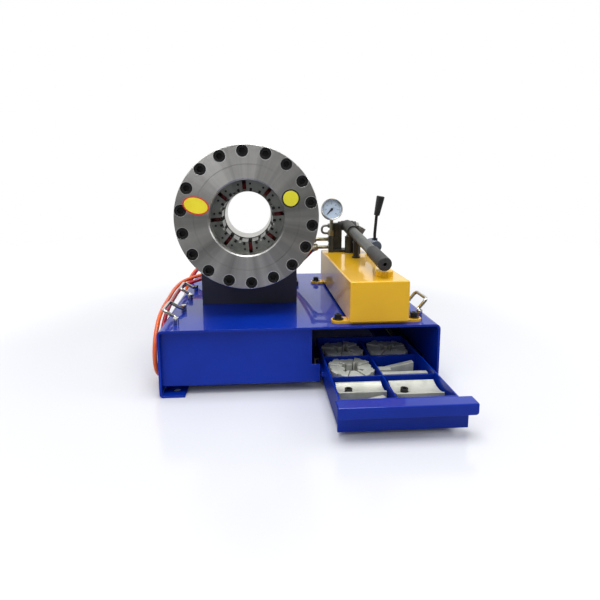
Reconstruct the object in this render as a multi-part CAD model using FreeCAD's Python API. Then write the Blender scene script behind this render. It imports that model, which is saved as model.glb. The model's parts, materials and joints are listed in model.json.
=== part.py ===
import FreeCAD, Part
import math
import os

# Hose crimping machine.
# Millimetres, X to the right, Y away from the operator, Z up.
# The origin is on the floor, at the centre of the four foot holes.

Vector = FreeCAD.Vector

# Base: one bent sheet, open at the front, the back and below
base_width = 620.0
base_depth = 566.0
base_height = 152.0
base_sheet = 5.0
base_top_bend = 12.0
base_foot_bend = 9.0
foot_flange_width = 55.0
foot_hole_diameter = 20.0
foot_hole_from_side = 33.0
foot_hole_from_front = 31.0

# Front panel and the wall of the drawer bay
panel_recess = 12.0
panel_sheet = 4.0
panel_bottom = 20.0
bay_wall_from_right = 285.0
bay_wall_sheet = 4.0
bay_wall_bottom = 20.0
bay_wall_front_inset = 42.0
bay_wall_rear_inset = 40.0
panel_return = 22.0
panel_edge_round = 3.5
panel_corner_gap = 0.5
panel_tab_width = 19.0
panel_tab_height = 42.0

# Folding carrying handles
handle_rod_diameter = 8.0
handle_arm_length = 36.0
handle_post_spacing = 104.0
handle_post_diameter = 13.0
handle_post_height = 15.0
handle_pivot_above_top = 9.0
handle_from_left_side = 33.0
handle_from_right_side = 26.0
handle_front_y = -237.0
handle_rear_y = -30.0
handle_right_front_y = -222.0
handle_right_rear_y = 60.0
handle_lean_angle_left = 31.0
handle_lean_angle_right = 50.0
handle_running_gap = 0.05
handle_bend_radius = 9.0
handle_end_beyond_post = 1.5

# Crimping head
head_x = -115.0
head_above_top = 233.0
head_front_y = -203.0
head_radius = 164.0
cylinder_step = 1.0
head_inner_radius = 132.0
cover_thickness = 42.0
cover_bore_radius = 86.0
cover_chamfer = 3.0
cover_rim_round = 1.5
groove_radius = 120.0
groove_width = 2.0
groove_depth = 1.2
cover_bolt_circle_radius = 149.5
cover_bolt_count = 18
cover_bolt_first_angle = 93.0
bolt_head_radius = 12.0
bolt_head_height = 16.0
bolt_socket_across = 14.0
bolt_shank_radius = 8.0
bolt_shank_length = 54.0
counterbore_radius = 13.5
counterbore_depth = 18.0
cylinder_rear = 178.0
cylinder_wall_thickness = 22.0
sleeve_bore_radius = 58.0
sleeve_outer_radius = 66.0
sleeve_front = 110.0
rear_ring_radius = 92.0
rear_ring_thickness = 10.0
cylinder_end_chamfer = 4.0
sleeve_chamfer = 2.0

# Die shoes and the cone piston that closes them
shoe_count = 8
shoe_first_angle = 27.5
shoe_travel = 10.5
shoe_closed_radius = 49.5
shoe_closed_gap = 1.0
shoe_front_gap = 0.3
shoe_length = 66.0
cone_slope = 0.35
shoe_outer_front = 112.0
piston_front = 76.0
piston_web_front = 141.0
piston_rear = 160.0
piston_wall_gap = 0.08
piston_face_gap = 0.15
die_slot_width = 7.0
die_slot_depth = 5.0
shoe_blank_inner = 30.0
shoe_blank_width = 140.0
seal_groove_depth = 4.0
seal_groove_width = 8.0
spring_radius = 4.0
spring_pocket_gap = 0.5
spring_pocket_depth = 12.0
spring_from_axis = 73.0
spring_behind_shoe_front = 14.0

# Support block under the head
support_half_width = 122.5
support_front_y = -83.0
support_depth = 236.0
support_low_height = 74.0
support_saddle_height = 148.0
support_saddle_depth = 116.0
support_gap = 0.3
support_foot_length = 22.0
support_foot_thickness = 12.0
support_foot_width = 40.0
support_foot_rear_inset = 4.0

# Hand pump: tank, feet and casting
tank_from_right = 136.0
tank_width = 132.0
tank_front_inset = 5.0
tank_length = 460.0
tank_height = 92.0
tank_lift = 6.0
tank_edge = 3.0
tank_foot_half_length = 103.0
tank_foot_width = 34.0
tank_bolt_offset = 87.0
tank_front_foot_inset = 30.0
tank_rear_foot_inset = 42.0
foot_bolt_head_radius = 8.0
foot_bolt_head_height = 10.0
washer_radius = 12.0
washer_thickness = 2.0
filler_from_tank_middle = 25.0
filler_from_tank_front = 60.0
filler_radius = 20.0
filler_height = 12.0
filler_plug_radius = 12.0
filler_plug_gap = 0.07
filler_plug_length = 10.0
filler_hole_depth = 14.0
filler_seat_gap = 0.3
filler_round = 2.0
filler_scallop_count = 12
filler_scallop_radius = 3.0
filler_scallop_outside = 1.5
foot_bolt_radius = 5.0
foot_bolt_socket = 8.0
foot_bolt_below_sheet = 6.0
rest_before_pivot = 135.0
rest_radius = 8.5
rest_flange_radius = 12.0
rest_flange_thickness = 4.0
rest_lever_gap = 0.3

# Lever and plunger
lever_from_tank_middle = 13.0
pivot_from_tank_rear = 24.0
pivot_above_tank = 80.0
pivot_radius = 6.0
lever_drop_angle = 6.2
lever_socket_radius = 18.0
lever_tube_radius = 13.5
lever_wall = 2.5
lever_grip_radius = 16.0
lever_length = 424.0
lever_grip_length = 108.0
lever_socket_length = 92.0
lever_socket_bore_start = 30.0
lever_tube_start = 32.0
lever_end_wall = 6.0
lever_boss_radius = 15.0
grip_edge_round = 3.0
grip_hole_radius = 4.0
grip_hole_depth = 14.0
plunger_radius = 9.0
plunger_before_pivot = 36.0
plunger_foot_height = 12.0
plunger_bore_floor = 10.0
plunger_lever_gap = 0.8
plunger_chamfer = 2.0
sliding_gap = 0.06
casting_left_of_middle = 40.0
casting_right_of_middle = 42.0
casting_behind_rear = 6.0
casting_depth = 48.0
casting_foot_height = 7.0
casting_corner = 6.0
column_width = 29.0
column_depth = 30.0
column_height = 88.0
side_block_width = 20.0
side_block_depth = 42.0
side_block_front = 82.0
side_block_height = 42.0
barrel_radius = 13.0
barrel_height = 50.0
ear_side_gap = 0.5
ear_thickness = 9.0
ear_radius = 13.0
pin_nut_across = 18.0
pin_nut_length = 8.0
pin_end_left = 12.0
pin_seat_gap = 0.03
pin_end_right = 10.0
gauge_boss_radius = 9.0
gauge_boss_height = 52.0
release_from_pivot = 50.0
release_inset = 13.0
release_lean = 0.5
release_back = -0.1
release_rise = 0.86
release_stem_radius = 4.0
release_stem_depth = 12.0
release_head_start = 24.0
release_head_end = 42.0
release_head_radius = 11.0
release_knurl_count = 16
release_knurl_radius = 1.4
screw_running_gap = 0.05
screw_end_gap = 0.2
lock_before_pivot = 56.0
lock_height = 34.0
lock_stem_radius = 4.0
lock_stem_depth = 6.0
lock_head_radius = 7.5
lock_head_start = 6.0
lock_head_end = 17.0

# Directional valve
valve_from_tank_middle = 88.0
valve_before_pivot = 38.0
valve_above_tank = 22.0
valve_radius = 18.0
valve_length = 66.0
valve_chamfer = 2.5
valve_link_half_width = 9.0
valve_link_low = 17.0
valve_link_high = 29.0
valve_lever_shift = 4.0
valve_hub_radius = 9.0
valve_hub_rise = 4.0
valve_slot_half = 5.6
valve_slot_half_length = 20.0
valve_slot_floor = 2.0
valve_hinge_rise = 8.0
valve_pin_radius = 2.0
valve_pin_start = -8.0
valve_pin_end = 9.0
valve_boss_radius = 5.5
valve_boss_half = 5.0
valve_rod_radius = 4.5
valve_neck_rise = 34.0
valve_knee_rise = 88.0
valve_knee_out = 4.0
valve_tip_rise = 150.0
valve_tip_out = 16.0
valve_rod_in_grip = 0.3
valve_grip_start = 3.2
valve_grip_low_radius = 8.5
valve_grip_high_radius = 12.5
valve_grip_round = 3.0

# Gauge
gauge_left_of_middle = 40.0
gauge_before_pivot = 24.0
gauge_above_tank = 132.0
gauge_radius = 33.0
gauge_thickness = 24.0
gauge_tilt = 12.0
gauge_wall = 4.0
gauge_floor = 3.0
gauge_rim_round = 1.5
gauge_stem_across = 17.0
gauge_stem_hexagon = 16.0
gauge_stem_radius = 5.5
dial_thickness = 9.0
needle_above_dial = 0.6
needle_length = 23.0
needle_tail = 8.0
needle_root_half = 2.6
needle_tip_half = 0.6
needle_thickness = 1.0
needle_hub_radius = 4.0
needle_hub_height = 2.5
needle_hub_below = 0.3
needle_left_part = 0.69
needle_down_part = 0.72
glass_thickness = 2.0

# Drawer, shown pulled out
drawer_left_from_right = 257.0
drawer_right_from_right = 33.0
drawer_front_y = -452.0
drawer_back_y = -127.0
drawer_bottom = 9.0
drawer_top = 70.0
drawer_sheet = 3.0
drawer_panel_left_from_right = 260.0
drawer_panel_right_from_right = 13.0
drawer_panel_sheet = 3.0
drawer_panel_below_tray = 1.0
lip_left_from_right = 264.0
lip_right_from_right = 8.0
lip_depth = 27.0
lip_height = 22.0
divider_sheet = 2.5
slide_bar_height = 9.0
slide_bar_width = 8.0
slide_bar_z = 40.0
slide_bar_length = 150.0
slide_gap = 0.5
rail_side_gap = 2.0
rail_relief_wall = 4.0
tray_edge_round = 4.0
lip_edge_round = 2.8
lip_end_round = 6.0
divider_below_rim = 6.0
rail_front_y = -205.0
rail_rear_y = 55.0
rail_wall = 3.0

# Die sets kept in the drawer
die_outer_radius = 51.0
die_side_radius = 47.5
die_height = 50.0
die_side_step = 2.5
die_gap_half = 0.8
die_bore_radius = 21.0
die_bore_step = 3.0
die_flat_share = 0.72
die_count = 8
die_notch_half = 5.0
die_notch_depth = 3.0
die_relief_half = 4.0
die_relief_depth = 9.0
die_turn_a = 10.0
die_turn_b = -8.0
die_turn_c = 3.0
long_die_length = 98.0
long_die_depth = 17.0
long_die_height = 46.0
long_die_edge = 5.0
long_die_shift = -26.0
wedge_die_length = 62.0
wedge_die_depth = 13.0
wedge_die_low = 36.0
wedge_die_high = 49.0
wedge_die_right = 14.0
wedge_die_behind = 15.0
short_die_length = 26.0
short_die_height = 44.0
short_die_from_left = 17.0
adapter_height = 46.0
adapter_length = 94.0
adapter_narrow_width = 46.0
adapter_wide_width = 58.0
adapter_narrow_scoop = 32.0
adapter_wide_scoop = 60.0
adapter_scoop_depth = 6.0
adapter_from_rear_wall = 11.0
bar_left_length = 84.0
bar_right_length = 60.0
bar_width = 10.0
bar_height = 42.0
bar_left_turn = 20.0
bar_right_turn = -12.0
bar_left_from_front = 22.5
bar_right_from_front = 12.5
adapter_screw_along = -26.0
adapter_screw_across = -9.0
adapter_screw_seat_depth = 7.0
adapter_screw_pocket_gap = 1.0
adapter_screw_radius = 4.0
adapter_screw_length = 18.0
adapter_screw_head_radius = 7.5
adapter_screw_head_height = 9.0
adapter_screw_socket = 7.0

# Hoses
hose_radius = 5.0
pipe_radius = 3.5
pipe_low = 56.0
pipe_high = 80.0
pipe_out = 26.0
pipe_nut_across = 13.0
pipe_nut_length = 7.0
fitting_nut_across = 17.0
fitting_nut_length = 6.0
fitting_stub_radius = 5.5
fitting_knuckle_radius = 8.5
fitting_knuckle_half = 8.0
fitting_ferrule_radius = 7.0
fitting_beyond_hose = 15.0

top_z = base_height
tank_bottom = top_z + tank_lift
tank_top = tank_bottom + tank_height
front_y = -base_depth / 2
half_width = base_width / 2
head_z = top_z + head_above_top
support_low_top = top_z + support_low_height
support_saddle_top = top_z + support_saddle_height
bay_wall_left = half_width - bay_wall_from_right
drawer_left = half_width - drawer_left_from_right
drawer_right = half_width - drawer_right_from_right
drawer_panel_left = half_width - drawer_panel_left_from_right
drawer_panel_right = half_width - drawer_panel_right_from_right
lip_left = half_width - lip_left_from_right
lip_right = half_width - lip_right_from_right
tank_x = half_width - tank_from_right
tank_front_y = front_y + tank_front_inset
tank_rear_y = tank_front_y + tank_length
tank_front_foot_y = tank_front_y + tank_front_foot_inset
tank_rear_foot_y = tank_rear_y - tank_rear_foot_inset
filler_x = tank_x + filler_from_tank_middle
filler_y = tank_front_y + filler_from_tank_front
lever_x = tank_x + lever_from_tank_middle
pivot_y = tank_rear_y - pivot_from_tank_rear
rest_y = pivot_y - rest_before_pivot
pivot_z = tank_top + pivot_above_tank
plunger_y = pivot_y - plunger_before_pivot
release_y = pivot_y - release_from_pivot
lock_y = pivot_y - lock_before_pivot
casting_x0 = tank_x - casting_left_of_middle
casting_x1 = tank_x + casting_right_of_middle
casting_y1 = tank_rear_y - casting_behind_rear
casting_y0 = casting_y1 - casting_depth
side_block_top = tank_top + side_block_height
valve_x = tank_x + valve_from_tank_middle
valve_y = pivot_y - valve_before_pivot
valve_z = tank_top + valve_above_tank
gauge_x = tank_x - gauge_left_of_middle
gauge_y = pivot_y - gauge_before_pivot
gauge_z = tank_top + gauge_above_tank
shoe_open_radius = shoe_closed_radius + shoe_travel
cylinder_radius = head_radius - cylinder_step
head_axis = Vector(0, 1, 0)

os.makedirs("parts", exist_ok=True)


def save(name, shape):
    """Write one named piece."""
    shape.exportStep("parts/" + name + ".step")


def block(x0, x1, y0, y1, z0, z1):
    """Box between two corners."""
    return Part.makeBox(x1 - x0, y1 - y0, z1 - z0, Vector(x0, y0, z0))


def rod(start, end, radius):
    """Solid cylinder from one point to another."""
    line = end.sub(start)
    return Part.makeCylinder(radius, line.Length, start, line)


def tube(start, end, outer, inner):
    """Hollow cylinder from one point to another."""
    return rod(start, end, outer).cut(rod(start, end, inner))


def cone(start, end, radius_start, radius_end):
    """Tapered rod from one point to another."""
    line = end.sub(start)
    return Part.makeCone(radius_start, radius_end, line.Length, start, line)


def join(shapes):
    """Fuse touching shapes into one solid."""
    first = shapes[0]
    return first.fuse(shapes[1:]).removeSplitter()


def hexagon(start, end, across):
    """Hexagonal bar from one point to another."""
    line = end.sub(start)
    side = Vector(0, 0, 1).cross(line)
    if side.Length < 0.001:
        side = Vector(1, 0, 0)
    side.normalize()
    up = FreeCAD.Vector(line).cross(side)
    up.normalize()
    reach = across / math.sqrt(3.0)
    corners = []
    for step in range(7):
        angle = math.radians(60.0 * step)
        corner = start + side * (reach * math.cos(angle)) + up * (reach * math.sin(angle))
        corners.append(corner)
    return Part.Face(Part.makePolygon(corners)).extrude(line)


def prism(points, direction):
    """Solid from a closed outline of points and a sweep direction."""
    closed = points + [points[0]]
    return Part.Face(Part.makePolygon(closed)).extrude(direction)


def rounded_face(x0, x1, z0, z1, low_radius, high_radius, y):
    """Upright face with rounded corners, facing the operator."""
    low = low_radius
    high = high_radius
    c45 = math.cos(math.pi / 4)
    p1 = Vector(x0 + low, y, z0)
    p2 = Vector(x1 - low, y, z0)
    p3 = Vector(x1, y, z0 + low)
    p4 = Vector(x1, y, z1 - high)
    p5 = Vector(x1 - high, y, z1)
    p6 = Vector(x0 + high, y, z1)
    p7 = Vector(x0, y, z1 - high)
    p8 = Vector(x0, y, z0 + low)
    m23 = Vector(x1 - low + low * c45, y, z0 + low - low * c45)
    m45 = Vector(x1 - high + high * c45, y, z1 - high + high * c45)
    m67 = Vector(x0 + high - high * c45, y, z1 - high + high * c45)
    m81 = Vector(x0 + low - low * c45, y, z0 + low - low * c45)
    edges = [
        Part.makeLine(p1, p2),
        Part.Arc(p2, m23, p3).toShape(),
        Part.makeLine(p3, p4),
        Part.Arc(p4, m45, p5).toShape(),
        Part.makeLine(p5, p6),
        Part.Arc(p6, m67, p7).toShape(),
        Part.makeLine(p7, p8),
        Part.Arc(p8, m81, p1).toShape(),
    ]
    return Part.Face(Part.Wire(edges))


def polar(radius, angle, s):
    """Point round the head axis, s behind the front face."""
    turn = math.radians(angle)
    x = head_x + radius * math.cos(turn)
    z = head_z + radius * math.sin(turn)
    return Vector(x, head_front_y + s, z)


def head_ring(outer, inner, s0, s1):
    """Ring round the head axis."""
    return tube(polar(0, 0, s0), polar(0, 0, s1), outer, inner)


def edge_at(shape, test):
    """Edges of a shape whose centre passes a test."""
    return [edge for edge in shape.Edges if test(edge)]


def cap_screw(seat, into, head_radius_, head_height_, shank_radius, shank_length, across):
    """Socket screw with its head seated at a point and its shank going in."""
    unit = FreeCAD.Vector(into)
    unit.normalize()
    top = seat - unit * head_height_
    head = rod(top, seat, head_radius_)
    head = head.cut(hexagon(top, top + unit * (head_height_ * 0.5), across))
    return head.fuse(rod(seat, seat + unit * shank_length, shank_radius)).removeSplitter()


def hose_route(points, radius, name):
    """Round tube along straight runs joined by tangent arcs."""
    edges = []
    start = points[0]
    radii = []
    for index in range(1, len(points) - 1):
        before = points[index - 1]
        corner = points[index]
        after = points[index + 1]
        inward = corner.sub(before)
        outward = after.sub(corner)
        run = min(inward.Length, outward.Length)
        inward.normalize()
        outward.normalize()
        half = inward.getAngle(outward) / 2
        bend = 0.45 * run / math.tan(half)
        radii.append(round(bend, 1))
        reach = bend * math.tan(half)
        arc_start = corner - inward * reach
        arc_end = corner + outward * reach
        middle = arc_start + arc_end
        middle = middle * 0.5
        toward = middle.sub(corner)
        toward.normalize()
        depth = bend / math.cos(half) - bend
        arc_middle = corner + toward * depth
        edges.append(Part.makeLine(start, arc_start))
        edges.append(Part.Arc(arc_start, arc_middle, arc_end).toShape())
        start = arc_end
    edges.append(Part.makeLine(start, points[-1]))
    path = Part.Wire(edges)
    direction = points[1].sub(points[0])
    circle = Part.Wire([Part.makeCircle(radius, points[0], direction)])
    print(name, "bend radii", radii)
    return path.makePipeShell([circle], True, True)


# Base frame: rounded channel with inward foot flanges
outer_skin = rounded_face(-half_width, half_width, 0, base_height, base_foot_bend, base_top_bend, front_y)
outer_skin = outer_skin.extrude(Vector(0, base_depth, 0))
inner_skin = rounded_face(
    -half_width + base_sheet, half_width - base_sheet, base_sheet, base_height - base_sheet,
    base_foot_bend - base_sheet, base_top_bend - base_sheet, front_y - 1)
inner_skin = inner_skin.extrude(Vector(0, base_depth + 2, 0))
inner_gap = half_width - foot_flange_width
open_floor = block(-inner_gap, inner_gap, front_y - 1, -front_y + 1, -1, base_sheet + 1)
base_frame = outer_skin.cut(inner_skin).cut(open_floor)
foot_x = half_width - foot_hole_from_side
foot_y = base_depth / 2 - foot_hole_from_front
for side_x in (-foot_x, foot_x):
    for side_y in (-foot_y, foot_y):
        hole = rod(Vector(side_x, side_y, -1), Vector(side_x, side_y, base_sheet + 1),
                   foot_hole_diameter / 2)
        base_frame = base_frame.cut(hole)
tank_bolt_points = []
for foot_line_y in (tank_front_foot_y, tank_rear_foot_y):
    for bolt_side in (-1, 1):
        tank_bolt_points.append(Vector(tank_x + bolt_side * tank_bolt_offset, foot_line_y, top_z))
for point in tank_bolt_points:
    low = Vector(point.x, point.y, top_z - base_sheet - 1)
    base_frame = base_frame.cut(rod(low, point + Vector(0, 0, 1), foot_bolt_radius))
support_rear_y = support_front_y + support_depth
support_foot_y = support_rear_y - support_foot_width / 2 - support_foot_rear_inset
support_bolt_points = []
for bolt_side in (-1, 1):
    offset = support_half_width + support_foot_length / 2
    support_bolt_points.append(Vector(head_x + bolt_side * offset, support_foot_y, top_z))
for point in support_bolt_points:
    low = Vector(point.x, point.y, top_z - base_sheet - 1)
    base_frame = base_frame.cut(rod(low, point + Vector(0, 0, 1), foot_bolt_radius))
save("base_frame", base_frame)

# Front panel with a return along its lower edge
panel_y = front_y + panel_recess
panel_left = -half_width + base_sheet
panel_high = base_height - base_sheet
panel_corner = base_top_bend - base_sheet + panel_corner_gap
front_panel = block(panel_left, bay_wall_left, panel_y, panel_y + panel_sheet, panel_bottom, panel_high)
corner_edge = edge_at(front_panel, lambda e: abs(e.CenterOfMass.x - panel_left) < 0.01
                      and abs(e.CenterOfMass.z - panel_high) < 0.01)
front_panel = front_panel.makeFillet(panel_corner, corner_edge)
panel_tab = block(bay_wall_left, bay_wall_left + panel_tab_width, panel_y, panel_y + panel_sheet,
                  panel_bottom, panel_bottom + panel_tab_height)
lower_return = block(panel_left, bay_wall_left, panel_y, panel_y + panel_return,
                     panel_bottom, panel_bottom + panel_sheet)
front_panel = join([front_panel, panel_tab, lower_return])
panel_edge = edge_at(front_panel, lambda e: abs(e.CenterOfMass.y - panel_y) < 0.01
                     and abs(e.CenterOfMass.z - panel_bottom) < 0.01)
front_panel = front_panel.makeFillet(panel_edge_round, panel_edge)
save("front_panel", front_panel)

# Rear panel, recessed like the front one
rear_y = -front_y - panel_recess
rear_panel = block(panel_left, -panel_left, rear_y - panel_sheet, rear_y, panel_bottom, panel_high)
rear_corners = edge_at(rear_panel, lambda e: abs(abs(e.CenterOfMass.x) + panel_left) < 0.01
                       and abs(e.CenterOfMass.z - panel_high) < 0.01)
rear_panel = rear_panel.makeFillet(panel_corner, rear_corners)
save("rear_panel", rear_panel)

# Bay wall: hangs from the top sheet behind the panel and carries the left drawer rail
wall_x1 = bay_wall_left + bay_wall_sheet
wall_rear = -front_y - bay_wall_rear_inset
bay_wall = block(bay_wall_left, wall_x1, front_y + bay_wall_front_inset, wall_rear,
                 bay_wall_bottom, panel_high)
save("bay_wall", bay_wall)

# Drawer rails: one channel on the bay wall, one on the side wall
rail_inside = slide_bar_height + 2 * slide_gap
rail_z0 = slide_bar_z - rail_inside / 2
rail_z1 = slide_bar_z + rail_inside / 2
rails = []
for rail_wall_x, rail_mouth_x in ((wall_x1, drawer_left - rail_side_gap),
                                 (half_width - base_sheet, drawer_right + rail_side_gap)):
    rx0 = min(rail_wall_x, rail_mouth_x)
    rx1 = max(rail_wall_x, rail_mouth_x)
    rail = block(rx0, rx1, rail_front_y, rail_rear_y, rail_z0 - rail_wall, rail_z1 + rail_wall)
    if rail_mouth_x > rail_wall_x:
        groove = block(rx1 - slide_bar_width, rx1 + 1, rail_front_y - 1, rail_rear_y + 1, rail_z0, rail_z1)
        relief = block(rx0 + rail_relief_wall, rx1 - slide_bar_width - rail_relief_wall,
                       rail_front_y - 1, rail_rear_y + 1, rail_z0, rail_z1 + rail_wall + 1)
    else:
        groove = block(rx0 - 1, rx0 + slide_bar_width, rail_front_y - 1, rail_rear_y + 1, rail_z0, rail_z1)
        relief = block(rx0 + slide_bar_width + rail_relief_wall, rx1 - rail_relief_wall,
                       rail_front_y - 1, rail_rear_y + 1, rail_z0, rail_z1 + rail_wall + 1)
    rails.append(rail.cut(groove).cut(relief))
save("drawer_rails", Part.makeCompound(rails))

# Handle posts, two for each folding handle
handle_left_x = -half_width + handle_from_left_side
handle_right_x = half_width - handle_from_right_side
handle_pivot_z = top_z + handle_pivot_above_top
handle_places = [
    ("handle_front_left", handle_left_x, handle_front_y, -1, handle_lean_angle_left),
    ("handle_rear_left", handle_left_x, handle_rear_y, -1, handle_lean_angle_left),
    ("handle_front_right", handle_right_x, handle_right_front_y, 1, handle_lean_angle_right),
    ("handle_rear_right", handle_right_x, handle_right_rear_y, 1, handle_lean_angle_right),
]
posts = []
rod_hole = handle_rod_diameter / 2 + handle_running_gap
for _, place_x, place_y, _, _ in handle_places:
    for post_y in (place_y, place_y + handle_post_spacing):
        post = rod(Vector(place_x, post_y, top_z), Vector(place_x, post_y, top_z + handle_post_height),
                   handle_post_diameter / 2)
        eye = rod(Vector(place_x, post_y - handle_post_diameter, handle_pivot_z),
                  Vector(place_x, post_y + handle_post_diameter, handle_pivot_z), rod_hole)
        posts.append(post.cut(eye))
save("handle_posts", Part.makeCompound(posts))


def bail(place_x, place_y, side, lean):
    """Folding handle: a bent rod whose ends turn in the two posts."""
    reach = handle_rod_diameter / 2
    bend = handle_bend_radius
    tilt = math.radians(lean)
    out = Vector(side * math.cos(tilt), 0, math.sin(tilt))
    pivot_a = Vector(place_x, place_y, handle_pivot_z)
    tail = handle_post_diameter / 2 + handle_end_beyond_post
    inner_a = pivot_a + Vector(0, -tail, 0)
    corner_a = pivot_a + Vector(0, tail + bend, 0)
    top_a = corner_a + out * handle_arm_length
    corner_b = pivot_a + Vector(0, handle_post_spacing - tail - bend, 0)
    top_b = corner_b + out * handle_arm_length
    inner_b = pivot_a + Vector(0, handle_post_spacing + tail, 0)
    route = [inner_a, corner_a, top_a, top_b, corner_b, inner_b]
    edges = []
    start = route[0]
    for index in range(1, 5):
        before = route[index].sub(route[index - 1])
        after = route[index + 1].sub(route[index])
        before.normalize()
        after.normalize()
        arc_start = route[index] - before * bend
        arc_end = route[index] + after * bend
        toward = after.sub(before)
        toward.normalize()
        arc_middle = route[index] + toward * (bend * (math.sqrt(2.0) - 1.0))
        edges.append(Part.makeLine(start, arc_start))
        edges.append(Part.Arc(arc_start, arc_middle, arc_end).toShape())
        start = arc_end
    edges.append(Part.makeLine(start, route[-1]))
    circle = Part.Wire([Part.makeCircle(reach, route[0], Vector(0, 1, 0))])
    return Part.Wire(edges).makePipeShell([circle], True, True)


for name, place_x, place_y, side, lean in handle_places:
    save(name, bail(place_x, place_y, side, lean))

# Head support: a saddle block with a lower rear part and two bolted feet
saddle = block(head_x - support_half_width, head_x + support_half_width,
               support_front_y, support_front_y + support_saddle_depth, top_z, support_saddle_top)
rear_part = block(head_x - support_half_width, head_x + support_half_width,
                  support_front_y, support_rear_y, top_z, support_low_top)
head_room = rod(polar(0, 0, 0), polar(0, 0, 400), cylinder_radius + support_gap)
support = join([saddle, rear_part]).cut(head_room)
for bolt_side in (-1, 1):
    inner_x = head_x + bolt_side * support_half_width
    outer_x = head_x + bolt_side * (support_half_width + support_foot_length)
    foot = block(min(inner_x, outer_x), max(inner_x, outer_x),
                 support_foot_y - support_foot_width / 2, support_foot_y + support_foot_width / 2,
                 top_z, top_z + support_foot_thickness)
    support = support.fuse(foot)
for point in support_bolt_points:
    support = support.cut(rod(point - Vector(0, 0, 1), point + Vector(0, 0, support_foot_thickness + 1),
                              foot_bolt_radius))
support = support.removeSplitter()
save("head_support", support)
support_bolts = []
for point in support_bolt_points:
    seat = point + Vector(0, 0, support_foot_thickness)
    shank = support_foot_thickness + base_sheet + foot_bolt_below_sheet
    support_bolts.append(cap_screw(seat, Vector(0, 0, -1), foot_bolt_head_radius, foot_bolt_head_height,
                                   foot_bolt_radius, shank, foot_bolt_socket))
save("support_bolts", Part.makeCompound(support_bolts))

# Front cover of the head
cover = head_ring(head_radius, cover_bore_radius, 0, cover_thickness)
front_edges = edge_at(cover, lambda e: abs(e.CenterOfMass.y - head_front_y) < 0.01
                      and abs(e.Length - 2 * math.pi * cover_bore_radius) < 1)
cover = cover.makeChamfer(cover_chamfer, front_edges)
rim_edges = edge_at(cover, lambda e: abs(e.CenterOfMass.y - head_front_y) < 0.01
                    and abs(e.Length - 2 * math.pi * head_radius) < 1)
cover = cover.makeFillet(cover_rim_round, rim_edges)
cover = cover.cut(head_ring(groove_radius + groove_width / 2, groove_radius - groove_width / 2,
                            -1, groove_depth))
cover_bolts = []
for index in range(cover_bolt_count):
    angle = cover_bolt_first_angle + index * 360.0 / cover_bolt_count
    seat = polar(cover_bolt_circle_radius, angle, counterbore_depth)
    cover = cover.cut(rod(polar(cover_bolt_circle_radius, angle, -1), seat, counterbore_radius))
    hole_exit = polar(cover_bolt_circle_radius, angle, cover_thickness + 1)
    cover = cover.cut(rod(seat, hole_exit, bolt_shank_radius))
    cover_bolts.append(cap_screw(seat, head_axis, bolt_head_radius, bolt_head_height,
                                 bolt_shank_radius, bolt_shank_length, bolt_socket_across))
save("front_cover", cover)
save("cover_bolts", Part.makeCompound(cover_bolts))

# Head cylinder: wall and rear end in one piece
cylinder_end = cylinder_rear + cylinder_wall_thickness
cylinder = head_ring(cylinder_radius, head_inner_radius, cover_thickness, cylinder_rear)
cylinder = cylinder.fuse(head_ring(cylinder_radius, sleeve_outer_radius, cylinder_rear, cylinder_end))
cylinder = cylinder.removeSplitter()
for index in range(cover_bolt_count):
    angle = cover_bolt_first_angle + index * 360.0 / cover_bolt_count
    hole_end = counterbore_depth + bolt_shank_length
    cylinder = cylinder.cut(rod(polar(cover_bolt_circle_radius, angle, cover_thickness - 1),
                                polar(cover_bolt_circle_radius, angle, hole_end), bolt_shank_radius))
end_edges = edge_at(cylinder, lambda e: abs(e.CenterOfMass.y - head_front_y - cylinder_end) < 0.01
                    and e.Length > 2 * math.pi * cover_bolt_circle_radius)
cylinder = cylinder.makeChamfer(cylinder_end_chamfer, end_edges)
save("head_cylinder", cylinder)

# Rear sleeve with its ring, the guide for the piston
sleeve = head_ring(sleeve_outer_radius, sleeve_bore_radius, sleeve_front, cylinder_end)
ring_end = cylinder_end + rear_ring_thickness
sleeve = join([sleeve, head_ring(rear_ring_radius, sleeve_bore_radius, cylinder_end, ring_end)])
sleeve_edges = edge_at(sleeve, lambda e: abs(e.CenterOfMass.y - head_front_y - ring_end) < 0.01)
sleeve = sleeve.makeChamfer(sleeve_chamfer, sleeve_edges)
save("rear_sleeve", sleeve)


def shoe_outer(s):
    """Distance of the inclined shoe face from the axis at depth s."""
    return shoe_outer_front - cone_slope * (s - cover_thickness)


def octagon(distance, s):
    """Eight-sided outline whose flats face the shoes."""
    corners = []
    reach = distance / math.cos(math.pi / shoe_count)
    for index in range(shoe_count + 1):
        angle = shoe_first_angle + (index + 0.5) * 360.0 / shoe_count
        corners.append(polar(reach, angle, s))
    return Part.makePolygon(corners)


# Cone piston: round outside, eight inclined flats inside
piston = head_ring(head_inner_radius - piston_wall_gap, sleeve_outer_radius + piston_wall_gap,
                   piston_front, piston_rear)
face_shift = piston_face_gap / math.cos(math.atan(cone_slope))
mouth = octagon(shoe_outer(piston_front) + face_shift, piston_front)
throat = octagon(shoe_outer(piston_web_front) + face_shift, piston_web_front)
cavity = Part.makeLoft([mouth, throat], True, True)
piston = piston.cut(cavity)
seal_groove = head_ring(head_inner_radius, head_inner_radius - seal_groove_depth,
                        piston_web_front, piston_web_front + seal_groove_width)
piston = piston.cut(seal_groove)
save("cone_piston", piston)

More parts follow.
